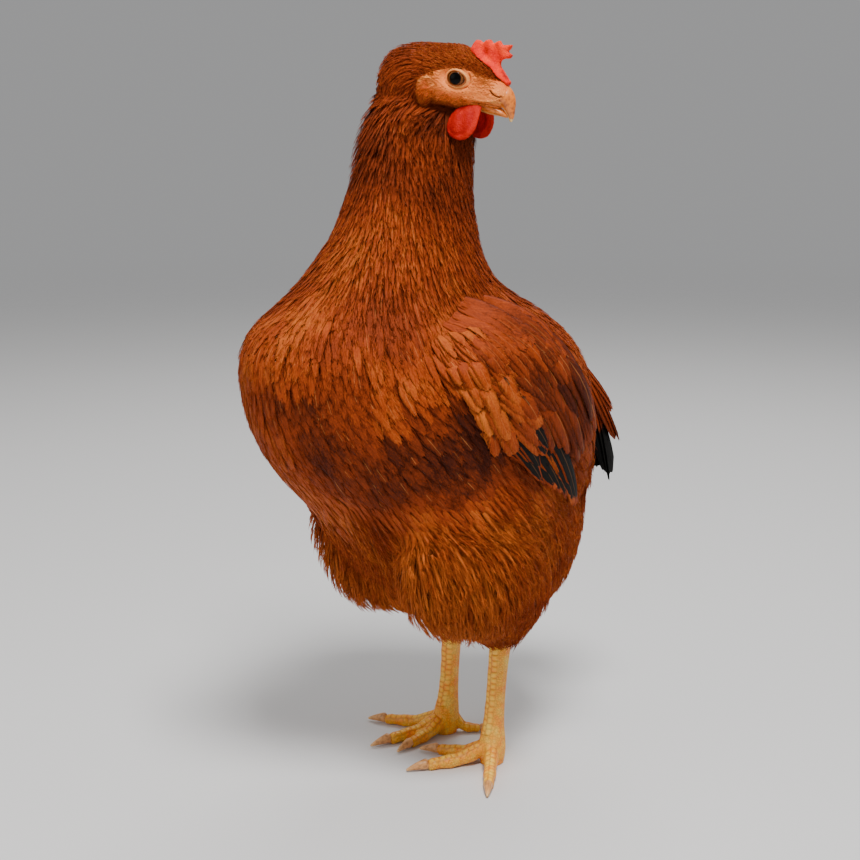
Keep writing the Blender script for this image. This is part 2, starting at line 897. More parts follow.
# In the head's frame, forward and up: the bare face, the patch over the ear, the horn of the beak, a
# wattle and the comb
BARE_OUTLINE = (
    (-10.5, 1.5), (-5, 4.8), (0.7, 6.4), (6.7, 6.4), (13.2, 4.8), (19.4, 4.6), (24, 6.2), (34, 7),
    (34, -16), (18, -13.5), (10, -13), (4, -13), (-3, -13.5), (-8, -14), (-9.5, -10), (-9, -5),
)
EAR_OUTLINE = (
    (-17.5, -4.5), (-14, -0.8), (-9.8, -1), (-8.2, -5),
    (-9, -11), (-11.5, -19), (-15.5, -19.5), (-17.2, -12),
)
HORN_OUTLINE = (
    (26.2, 9), (26, 3.2), (26.2, -1.2), (23.2, -4.4), (19.5, -6.2),
    (12.5, -8), (12.5, -9), (24, -30), (40, 0),
)
WATTLE_OUTLINE = (
    (4.6, -29), (1, -26.8), (-0.4, -22), (0.6, -17), (4.4, -12), (7.6, -8.5),
    (14.4, -8.5), (15.2, -12), (16.4, -17), (16.2, -22), (13.8, -26.8), (9.8, -29),
)
COMB_OUTLINE = ((0, 26), (0.6, 17.5), (6, 13), (14, 9), (21, 7), (27, 4.5), (30, 14), (24, 26))
# On the side of the hen, forward and up: where the wing's own rows cover the hide
WING_OUTLINE = (
    (64, 258), (58, 240), (50, 216), (36, 206), (10, 188), (-20, 168),
    (-36, 172), (-38, 196), (-20, 224), (6, 246), (36, 262),
)

# How far forward the line lies from which the breast's feathers spread and its lobes face
BREAST_LINE = 47.0
# Lobes in which the breast's feathers gather: the tip forward, left and up, half the width, the length
# and how far the tip stands out
LOBES = (
    (116, 20, 230, 12, 50, 1.8),
    (104, -28, 246, 14, 40, 1.6),
    (108, 50, 240, 7, 24, 1.7),
    (99, 62, 206, 8, 28, 1.6),
    (84, 70, 222, 10, 34, 1.4),
    (112, 2, 190, 12, 36, 1.8),
    (92, -58, 214, 12, 36, 1.6),
)


class Plumage:
    """Where each kind of feather grows, how it lies and how it is coloured."""

    @staticmethod
    def face(points: Array) -> Array:
        """Give how far inside the bare face places lie, in millimetres."""
        x, _, z = HEAD.sizes(points)
        return inside(BARE_OUTLINE, x, z)

    @staticmethod
    def off_skin(points: Array) -> Array:
        """Give how far outside the bare face and the ears' patches places lie, in millimetres."""
        x, _, z = HEAD.sizes(points)
        return np.minimum(-inside(BARE_OUTLINE, x, z), -inside(EAR_OUTLINE, x, z))

    @staticmethod
    def head(points: Array) -> Array:
        """Give 1 on the head, falling to 0 down the neck."""
        x, y, z = HEAD.sizes(points)
        back, down = np.minimum(x + 6, 0) / 30, np.minimum(z + 2, 0) / 30
        reach = np.sqrt(back**2 + (y / 26) ** 2 + down**2)
        return 1 - smooth(reach, 0.75, 1.3)

    @staticmethod
    def nape(points: Array) -> Array:
        """Give how far back on the head places lie, from 0 on the crown to 1."""
        x, _, z = HEAD.sizes(points)
        return smooth(-x - 0.35 * z, 10, 32)

    @staticmethod
    def fluff(points: Array) -> Array:
        """Give 1 on the soft thighs, belly and vent, and 0 on smooth plumage."""
        forward, left, up = hen_sizes(points)
        wave = 7 * np.sin(forward / 7 + left / 11) + 5 * np.sin(left / 5 - up / 9)
        low = 1 - smooth(up + wave + 0.2 * forward, 158, 212)
        rear = smooth(wave - forward, 34, 60) * (1 - smooth(up, 175, 215))
        return np.clip(low + rear, 0, 1)

    @staticmethod
    def clump(points: Array) -> Array:
        """Give how the coat gathers in soft lobes, from -1 to 1."""
        forward, left, up = hen_sizes(points)
        a = forward / 16 + 0.9 * np.sin(up / 37)
        b = up / 24 + 1.1 * np.sin(left / 29 + forward / 41)
        c = left / 17 + 0.8 * np.sin(up / 31)
        wave = 0.9 * np.sin(a + 1.7) * np.sin(b) + 0.8 * np.sin(c) * np.cos(b * 0.7 + a * 0.5)
        return np.clip(wave, -1, 1)

    @classmethod
    def puff(cls, points: Array) -> Array:
        """Give how many millimetres further feathers stand out, as on the nape and before the thighs."""
        forward, left, up = hen_sizes(points)
        x, y, z = HEAD.sizes(points)
        nape = smooth(-x - 0.4 * np.abs(y), 8, 24) * smooth(-z, 6, 16) * (1 - smooth(-z, 34, 56))
        ahead = smooth(0.62 * np.abs(left) + 0.79 * forward, 42, 70)
        lobes = 0.6 * cls.clump(points) * (1 - cls.head(points)) * (1 - cls.fluff(points))
        wing = inside(WING_OUTLINE, forward, up)
        wrist = smooth(wing, -18, -8) * (1 - smooth(wing, 8, 12))
        wrist = wrist * smooth(forward, 36, 50) * smooth(up, 222, 238) * (np.abs(left) > 35)
        thigh = ahead * smooth(up, 92, 118) * (1 - smooth(up, 158, 186))
        return 2.6 * nape + 7 * thigh + 4.5 * wrist + lobes

    @staticmethod
    def lobe(tips: Array) -> tuple[Array, Array]:
        """Find the lobes of the breast that feathers with their tips at some places belong to.

        Args:
            tips: The places.

        Returns:
            How many millimetres the tips stand out, and how strongly they lie in the shade below a lobe.
        """
        forward, left, up = hen_sizes(tips)
        rise, shade = np.zeros(len(tips)), np.zeros(len(tips))
        for ahead, aside, low, wide, long, out in LOBES:
            way = np.array([ahead - BREAST_LINE, aside]) / math.hypot(ahead - BREAST_LINE, aside)
            across = np.abs((forward - ahead) * way[1] - (left - aside) * way[0]) / wide
            above = up - low - 7 * across**2
            faced = (forward - BREAST_LINE) * way[0] + left * way[1] > 0
            within = (1 - smooth(across, 0.7, 1.1)) * faced
            stands = smooth(above, -1, 1.5) * (1 - np.clip(above / long, 0, 1))
            rise = np.maximum(rise, out * within * stands)
            shade = np.maximum(shade, within * (1 - smooth(above, -1, 1)) * smooth(above, -14, -3))
        return rise, shade

    @staticmethod
    def clear(spines: Array) -> Array:
        """Find the feathers that don't cross a wattle, the comb or the bare face."""
        x, y, z = HEAD.sizes(spines)
        hangs = np.interp(z, (-29, -8.5), (12.0, 6.4))
        wattle = (inside(WATTLE_OUTLINE, x, z) > 0.6) & (np.abs(np.abs(y) - hangs) < 3.4)
        face = np.minimum(inside(BARE_OUTLINE, x, z), 16 - np.abs(np.abs(y) - 10)) > 1.0
        face = face & (np.abs(x) < 30)
        comb = (inside(COMB_OUTLINE, x, z) > 0) & (np.abs(y) < 4.5 - 0.1 * x) & (np.abs(x) < 28)
        return ~np.any(wattle | face | comb, axis=1)

    @classmethod
    def depth(cls, points: Array) -> Array:
        """Give the coat's depth over the body in millimetres."""
        forward, left, up = hen_sizes(points)
        trunk = mix(2.0, 2.4, smooth(up, 260, 330))
        trunk = mix(trunk, 4.5, cls.fluff(points))
        by_wing = (np.abs(left) > 40) * smooth(inside(WING_OUTLINE, forward, up), -14, -2)
        trunk = mix(trunk, 2.0, by_wing)
        ahead, _, _ = HEAD.sizes(points)
        by_eye = smooth(-cls.off_skin(points), -7, 0) * (1 - smooth(ahead, 3, 9))
        return mix(trunk, 3.0 + 4.0 * by_eye, cls.head(points))

    @classmethod
    def head_depth(cls, points: Array) -> Array:
        """Give the coat's depth over the head in millimetres."""
        return 1.3 * smooth(cls.off_skin(points), -0.2, 3.0)

    @classmethod
    def lie(cls, points: Array, normals: Array) -> Array:
        """Give the direction in which feathers lie on the surface.

        Args:
            points: Places on the hide.
            normals: The outward directions there.

        Returns:
            Directions along the surface, of length one.
        """
        _, _, up = hen_sizes(points)
        neck = smooth(up, 250, 315)[..., None]
        leg = (1 - smooth(up, 120, 175))[..., None]
        head = cls.head(points)[..., None]
        way = mix(np.array([0, 0.66, -0.75]), np.array([0, 0.12, -1.0]), neck)
        way = mix(way, np.array([0, 0.25, -1.0]), leg)
        outward = unit(points - at(BREAST_LINE, 0, 0))
        outward[..., 2] = 0
        shelf = smooth(up, 215, 255) * (1 - smooth(up, 315, 345))
        way = way + unit(outward) * shelf[..., None] * 0.9
        throat = smooth(-HEAD.local(points)[..., 2], 5, 16)
        back = -HEAD.axes[0] - HEAD.axes[2] * (0.08 + 0.75 * cls.nape(points) + 2.2 * throat)[..., None]
        way = mix(way, back, head)
        return unit(way - normals * dot(way, normals))

    @classmethod
    def tone(cls, points: Array) -> Array:
        """Give how light the plumage is, from 0 to 1."""
        forward, left, up = hen_sizes(points)
        tone = mix(0.50, 0.30, smooth(up, 305, 345))
        flank = smooth(forward, 5, 25) * smooth(np.abs(left), 12, 32) * (1 - smooth(up, 200, 234))
        tone = mix(tone, 0.14, flank)
        tone = tone - 0.1 * smooth(left, 15, 40) * smooth(forward, 70, 95) * smooth(up, 195, 235)
        wing = inside(WING_OUTLINE, forward, up)
        below = smooth(wing, -20, -4) * (np.abs(left) > 35)
        below = below * smooth(forward, -25, 0) * (1 - smooth(up, 225, 245))
        tone = mix(mix(tone, 0.06, below), 0.64, cls.fluff(points))
        tone = mix(tone, 0.46 - 0.1 * cls.nape(points), cls.head(points))
        x, _, z = HEAD.sizes(points)
        throat = smooth(x, -16, -4) * smooth(-z, 10, 15) * (1 - smooth(-z, 24, 44))
        tone = mix(tone, 0.0, 0.8 * throat)
        return tone + 0.1 * cls.clump(points)


def head_rings(rows: Sequence[Sequence[float]], steps: int, sides: int) -> Array:
    """Give the rings of a body along the head's middle, in the head's own millimetres.

    Args:
        rows: Its stations: forward, up, half width, and the radii above and below.
        steps: Into how many steps its length is divided.
        sides: How many points a ring has.

    Returns:
        The points, ring by ring.
    """
    table = eased(rows, steps)
    centres = table[:, :2]
    along = directions(centres)
    angle = circle(sides)
    reach = np.where(np.sin(angle) > 0, table[:, 3:4], table[:, 4:5]) * np.sin(angle)
    x = centres[:, :1] - along[:, 1:] * reach
    z = centres[:, 1:] + along[:, :1] * reach
    return np.stack([x, table[:, 2:3] * np.cos(angle), z], axis=-1)


class HeadSkin:
    """The skin of the head: sockets and lids, ear patches, nostrils and the corners of the mouth."""

    # Forward, up, half width, and the radii above and below
    ROWS = (
        (-43, -17, 11, 11, 11),
        (-37, -14, 17, 17, 15),
        (-28, -9, 20, 20, 18),
        (-14, -5, 19.5, 20.5, 16.5),
        (-2, -3, 16.4, 20.5, 14.5),
        (8, -2, 12.6, 15.5, 12),
        (17, -2.6, 8.8, 12.2, 9.6),
        (23.5, -2.4, 6.3, 8.2, 6.6),
        (26.2, -2.2, 4.9, 5.4, 4.6),
    )
    EYE = (0.2, 9.2, 1.3)
    EYE_MM = 6.8
    OPENING = (0.9, 1.4, 5.0, 3.85)
    NOSTRIL = (21.8, -0.6, 3.0, 1.35, -0.25)

    def __init__(self, steps: int = 150, sides: int = 176) -> None:
        """Keep how finely the skin is divided."""
        self.steps = steps
        self.sides = sides

    @classmethod
    def eyeball(cls, x: Array, z: Array) -> Array:
        """Give how far to the side the eyeball's face lies."""
        middle_x, middle_y, middle_z = cls.EYE
        depth = cls.EYE_MM**2 - (x - middle_x) ** 2 - (z - middle_z) ** 2
        return middle_y + np.sqrt(np.maximum(depth, 0))

    @staticmethod
    def mouth(x: Array, z: Array) -> Array:
        """Give how far above the line of the mouth's corner places lie, in millimetres."""
        return z + 8.6 - 0.12 * (x - 12)

    @classmethod
    def opening(cls, x: Array, z: Array) -> Array:
        """Give how far outside the lids' edge places lie, in millimetres."""
        middle_x, middle_z, wide, high = cls.OPENING
        return (np.hypot((x - middle_x) / wide, (z - middle_z) / high) - 1) * (wide + high) / 2

    @classmethod
    def nostril(cls, x: Array, z: Array) -> tuple[Array, Array]:
        """Give how far out from the middle of the nostril places lie, and how far above its line."""
        middle_x, middle_z, long, high, slope = cls.NOSTRIL
        above = (z - middle_z) - (x - middle_x) * slope
        return np.hypot((x - middle_x) / long, above / high), above / high

    @classmethod
    def fuzzy(cls, points: Array) -> Array:
        """Give how thickly bristles stand on the bare skin, from 0 to 1."""
        x, _, z = HEAD.sizes(points)
        bare, ear = inside(BARE_OUTLINE, x, z), inside(EAR_OUTLINE, x, z)
        off_lids = smooth(cls.opening(x, z), 3.2, 5.5)
        shore = 1 - smooth(bare, 1.5, 7.0)
        brow = smooth(z, 2, 5)
        cheek = smooth(-z, 4, 8) * (1 - smooth(x, 7, 12))
        share = np.maximum(np.maximum(shore, brow), cheek) * off_lids * (1 - smooth(x, 16, 21))
        return np.maximum(share * (bare > -1), 0.8 * smooth(ear, 0.0, 0.8))

    def _relief(self, local: Array) -> Array:
        """Move places of the plain head to the folds of the skin."""
        x, y, z = np.moveaxis(local, -1, 0)
        side = np.abs(y)
        gap = self.opening(x, z)
        ball = self.eyeball(x, z)
        folds = (
            0.3 * bell(gap, 0.8, 0.45)
            - 0.35 * bell(gap, 1.6, 0.32)
            + 0.25 * bell(gap, 2.4, 0.5)
            - 0.2 * bell(gap, 3.4, 0.45)
        )
        lid = mix(ball + 0.35, side, smooth(gap, 0.6, 3.7)) + folds
        lid = np.where(gap < 0, ball - 1.0 * smooth(-gap, 0, 0.3) + 0.3, lid)
        by_eye = (1 - smooth(gap, 4.8, 6.5)) * smooth(side, 5, 8)
        wide = mix(side, lid, by_eye)
        ear = inside(EAR_OUTLINE, x, z)
        pad = 1.5 * smooth(ear, -0.8, 1.6) - 0.7 * smooth(ear, 1.9, 3.4)
        pad = pad - 0.4 * bell(ear, -1.3, 0.6)
        wide = wide + pad * smooth(side, 8, 12)
        out, above = self.nostril(x, z)
        low = smooth(-above, -0.5, 0.6)
        rim = 0.9 * bell(out, 0, 0.8) - 1.3 * low * bell(out, 1.0, 0.26)
        wide = wide + rim * smooth(side, 2, 4)
        over = self.mouth(x, z)
        fold = 0.5 * bell(over, 1.6, 0.9) - 0.7 * bell(over, 0, 0.5)
        wide = wide + fold * smooth(x, 4, 9) * smooth(side, 3, 5)
        wrinkles = 0.12 * np.sin(z * 2.1 + np.sin(x * 0.7) * 1.6)
        wide = wide + wrinkles * smooth(gap, 4, 7) * smooth(side, 4, 8)
        horn = smooth(inside(HORN_OUTLINE, x, z), -0.3, 0.5)
        width = np.sign(y) * wide * mix(1.0, 0.8, horn)
        return np.stack([x, width, mix(z, -2.5 + (z + 2.5) * 0.86, horn)], axis=-1)

    def build(self) -> Piece:
        """Make the skin, sunk where it is feathered, with its markings."""
        local = self._relief(head_rings(self.ROWS, self.steps, self.sides))
        piece = Bench.tube("head skin", HEAD.place(local))
        points = Bench.points(piece)
        sunk = Bench.normals(piece) * Plumage.head_depth(points)[:, None] * MM
        Bench.set_points(piece, points - sunk)
        self._mark(piece, HEAD.local(points))
        return piece

    def _mark(self, piece: Piece, local: Array) -> None:
        """Store where the skin is pale, flushed and creased."""
        x, y, z = local.T
        side = smooth(np.abs(y), 4, 7)
        gap = self.opening(x, z)
        ear = inside(EAR_OUTLINE, x, z)
        out, above = self.nostril(x, z)
        ring = 0.85 * bell(gap, 0.7, 0.55) + 0.35 * bell(gap, 2.4, 0.6)
        rim = bell(ear, 0.8, 1.0) * smooth(z, -9, -4) * 0.55
        over = self.mouth(x, z)
        ridge = 0.5 * bell(over, 1.8, 1.0) * smooth(x, 4, 9)
        cere = smooth(x, 14, 22) * 0.32 + 0.6 * ridge
        Bench.attribute(piece, "Pale", np.clip((ring + rim) * side + cere, 0, 1))
        comb = smooth(z - (16.5 - 0.45 * x), -6, 0)
        cheek = smooth(-z, 5, 9) * 0.55 * (1 - smooth(x, 8, 13)) + smooth(ear, 0.5, 2.5) * 0.5
        cheek = cheek + smooth(z, 4.5, 7) * 0.6
        Bench.attribute(piece, "Flush", np.clip(comb + cheek, 0, 1))
        lids = bell(gap, 1.6, 0.3) * 0.6 + bell(gap, 3.4, 0.45) * 0.35
        slit = 1.2 * bell(out, 1.0, 0.26) * smooth(-above, -0.5, 0.6)
        mouth = bell(over, 0, 0.4) * smooth(x, 8, 11) * 0.7
        socket = 1 - smooth(gap, 0.0, 0.35)
        edge = 0.35 * bell(ear, -0.8, 0.5) + 0.6 * smooth(-z, 10, 13.5) * (1 - smooth(x, 8, 13))
        Bench.attribute(piece, "Crease", np.clip((lids + socket + edge) * side + slit + mouth, 0, 1))


class Hide:
    """The skin: one surface under the whole coat, with the head worked finer."""

    FLESH = ("torso", "neck", "head", "thigh_left", "thigh_right")

    def __init__(self, voxel_mm: float = 2.4) -> None:
        """Keep the size of the surface's faces."""
        self.voxel_mm = voxel_mm
        self.piece: Optional[Piece] = None

    def build(self) -> "Hide":
        """Make the body's surface, sunk by the coat's depth, and the head's."""
        wing = Loft(WING_ROWS, 16, 18)
        cores = [
            Bench.tube("core", wing.sections(1.0)),
            Bench.tube("core", wing.mirrored().sections(1.0)),
            Bench.tube("core", Loft(TAIL_ROWS, 12, 16).sections(1.0)),
        ]
        body = Bench.join("skin", Bench.copy_nodes("skin", *self.FLESH), *cores)
        Bench.remesh(body, self.voxel_mm, 6)
        points = Bench.points(body)
        depth = Plumage.depth(points)
        Bench.set_points(body, points - Bench.normals(body) * depth[:, None] * MM)
        Bench.modify(body, "SMOOTH", iterations=4, factor=0.5)
        self._ease(body)
        self._tuck(body)
        for title in ("Pale", "Flush", "Crease"):
            Bench.attribute(body, title, 0.0)
        head = HeadSkin().build()
        for part, fine in ((body, 0.0), (head, 1.0)):
            Bench.attribute(part, "Fine", fine)
            Bench.drop_maps(part)
        self.piece = Bench.join("skin", body, head)
        return self

    @staticmethod
    def _ease(body: Piece) -> None:
        """Ease the groove between each wing and the back."""
        points = Bench.points(body)
        forward, left, up = hen_sizes(points)
        wing = inside(WING_OUTLINE, forward, up)
        share = smooth(wing, -26, -14) * (1 - smooth(wing, 10, 20)) * smooth(np.abs(left), 18, 30)
        share = share * smooth(up + 0.6 * forward, 205, 225) * (1 - smooth(forward, 45, 60))
        Bench.modify(body, "SMOOTH", iterations=40, factor=0.5)
        Bench.set_points(body, mix(points, Bench.points(body), share[:, None]))

    @staticmethod
    def _tuck(body: Piece) -> None:
        """Draw what of the body's surface lies behind the face well inside the head's skin."""
        local = HEAD.local(Bench.points(body))
        middle = np.array([-6.0, 0.0, -3.0])
        share = smooth(local[:, 0], -9, 1) * smooth(local[:, 2], -18, -11)
        shrunk = middle + (local - middle) * (0.55, 0.5, 0.6)
        Bench.set_points(body, HEAD.place(mix(local, shrunk, share[:, None])))

    def unwrap(self) -> None:
        """Lay the surface out flat, for the places of the tufts."""
        self.piece.data.uv_layers.new(name="OFBake")
        Bench.edit(
            self.piece,
            lambda: bpy.ops.uv.smart_project(angle_limit=math.radians(66), island_margin=0.002),
        )

    def dress(self) -> None:
        """Store the markings on the skin and finish the piece."""
        whole = self.piece
        places = Bench.points(whole)
        Bench.attribute(whole, "Tone", Plumage.tone(places))
        fine = Bench.read(whole.data.attributes["Fine"].data, "value")
        open_skin = (fine > 0.5) & (Plumage.off_skin(places) < 1.2)
        first = Bench.read(whole.data.polygons, "loop_start", kind=np.int32)
        whole.data.materials.append(HideFinish().material())
        whole.data.materials.append(FaceFinish().material())
        bare = open_skin[Bench.corners(whole)[first]]
        whole.data.polygons.foreach_set("material_index", bare.astype(np.int32))
        Bench.finish(whole, "plumage", replaces=self.FLESH)


class Ground:
    """The hide as the coat's makers see it: nearest places, normals and its flat layout."""

    # How many roots are tried for each that has room
    TRIES = 3.2
    # How far from the middle of the head in metres its skin and the body's meet
    MEETING = 0.075

    def __init__(self, piece: Piece) -> None:
        """Read the mesh, without what of the body lies inside the head and of the head inside the body."""
        mesh = piece.data
        mesh.calc_loop_triangles()
        self.points = Bench.points(piece)
        self.normals = Bench.normals(piece)
        triangles = Bench.read(mesh.loop_triangles, "vertices", 3, np.int32)
        loops = Bench.read(mesh.loop_triangles, "loops", 3, np.int32)
        flat = Bench.read(mesh.uv_layers["OFBake"].data, "uv", 2)
        on_head = Bench.read(mesh.attributes["Fine"].data, "value")[triangles[:, 0]] > 0.5
        outer = self._outer(triangles, on_head)
        self.triangles, self.on_head = triangles[outer], on_head[outer]
        self.layout = flat[loops][outer]
        self.tree = BVHTree.FromPolygons(self.points.tolist(), self.triangles.tolist())
        a, b, c = (self.points[self.triangles[:, k]] for k in range(3))
        self.areas = np.linalg.norm(np.cross(b - a, c - a), axis=1) / 2

    def _outer(self, triangles: Array, on_head: Array) -> Array:
        """Find the triangles of each shell that lie outside the other.

        Args:
            triangles: All triangles.
            on_head: Whether each belongs to the head.

        Returns:
            Whether each lies outside.
        """
        middles = self.points[triangles].mean(axis=1)
        outer = np.ones(len(triangles), bool)
        shells = {part: triangles[on_head == part] for part in (False, True)}
        for part, shell in shells.items():
            tree = BVHTree.FromPolygons(self.points.tolist(), shell.tolist())
            x, _, z = HEAD.local(middles).T
            near = np.linalg.norm(middles - HEAD.origin, axis=1) < self.MEETING
            fore = near & (x > -14) & (z > -17)
            outer[fore & ~on_head] = False
            others = np.nonzero((on_head != part) & near & ~fore)[0]
            for n, point in zip(others.tolist(), middles[others].tolist()):
                place, normal, _, _ = tree.find_nearest(point)
                outer[n] = (Vector(point) - place).dot(normal) > 0
        return outer

    def nearest(self, points: Array) -> tuple[Array, Array, Array]:
        """Find the nearest places on the hide.

        Args:
            points: Places near the hide.

        Returns:
            The places on it, the smooth normals there and the indices of the triangles.
        """
        found = [self.tree.find_nearest(point) for point in points.tolist()]
        places = np.array([tuple(hit[0]) for hit in found])
        faces = np.array([hit[2] for hit in found])
        corners = self.triangles[faces]
        gaps = np.linalg.norm(self.points[corners] - places[:, None], axis=2)
        weights = 1 / (gaps + 1e-5)
        normals = unit(np.sum(self.normals[corners] * weights[..., None], axis=1))
        return places, normals, faces

    def layout_at(self, faces: Array, places: Array) -> Array:
        """Give where places on triangles lie in the flat layout."""
        corners = self.points[self.triangles[faces]]
        weights = 1 / (np.linalg.norm(corners - places[:, None], axis=2) + 1e-5)
        weights /= weights.sum(axis=1, keepdims=True)
        return np.sum(self.layout[faces] * weights[..., None], axis=1)

    def scatter(self, spacing: Callable[[Array], Array], head: bool, rng: np.random.Generator) -> Array:
        """Scatter roots evenly over the hide.

        Args:
            spacing: Gives the distance in metres that roots at some places keep, or 0 for none.
            head: Whether they grow on the head's own skin.
            rng: The seeded source of random numbers.

        Returns:
            The roots.
        """
        middles = self.points[self.triangles].mean(axis=1)
        apart = np.where(self.on_head == head, spacing(middles), 0.0)
        wanted = np.where(apart > 0, self.areas / np.maximum(apart, 1e-6) ** 2 * self.TRIES, 0)
        counts = rng.poisson(wanted)
        faces = np.repeat(np.arange(len(counts)), counts)
        u, v = rng.random((2, len(faces)))
        u, v = np.where(u + v > 1, 1 - u, u), np.where(u + v > 1, 1 - v, v)
        a, b, c = (self.points[self.triangles[faces, k]] for k in range(3))
        places = a + (b - a) * u[:, None] + (c - a) * v[:, None]
        order = rng.permutation(len(places))
        return self._thin(places[order], apart[faces][order])

    @staticmethod
    def _thin(places: Array, apart: Array) -> Array:
        """Keep only roots that stand far enough from those kept before them.

        Args:
            places: The roots, in the order in which they are tried.
            apart: The distance in metres that each keeps.

        Returns:
            The roots that are kept.
        """
        cell = max(float(apart.max(initial=0.001)), 0.001)
        grid: dict[tuple[int, int, int], list[tuple[float, float, float]]] = {}
        kept = []
        cells = np.floor(places / cell).astype(int).tolist()
        for point, (i, j, k), gap in zip(places.tolist(), cells, apart.tolist()):
            x, y, z = point
            limit = gap * gap
            near = (
                other
                for di in (-1, 0, 1)
                for dj in (-1, 0, 1)
                for dk in (-1, 0, 1)
                for other in grid.get((i + di, j + dj, k + dk), ())
            )
            if all((x - p) ** 2 + (y - q) ** 2 + (z - r) ** 2 >= limit for p, q, r in near):
                grid.setdefault((i, j, k), []).append((x, y, z))
                kept.append(point)
        return np.array(kept)


# ---- Feathers ----

POINTED = np.array([0.45, 0.8, 1.0, 0.95, 0.7, 0.08])
ROUNDED = np.array([0.4, 0.7, 0.88, 0.98, 1.0, 0.92, 0.7, 0.3])
WISPY = np.array([0.5, 0.9, 1.0, 0.8, 0.5, 0.04])


@dataclass(frozen=True)
class Barbs:
    """The loose barbs of one kind of feather: slender blades that fringe and streak the vane."""

    count: int = 0
    length_mm: float = 5.0
    width_mm: float = 0.5
    angle: float = 0.42
    spread: float = 0.16
    first: float = 0.3
    raise_mm: float = 0.25
    mottle: float = 0.1


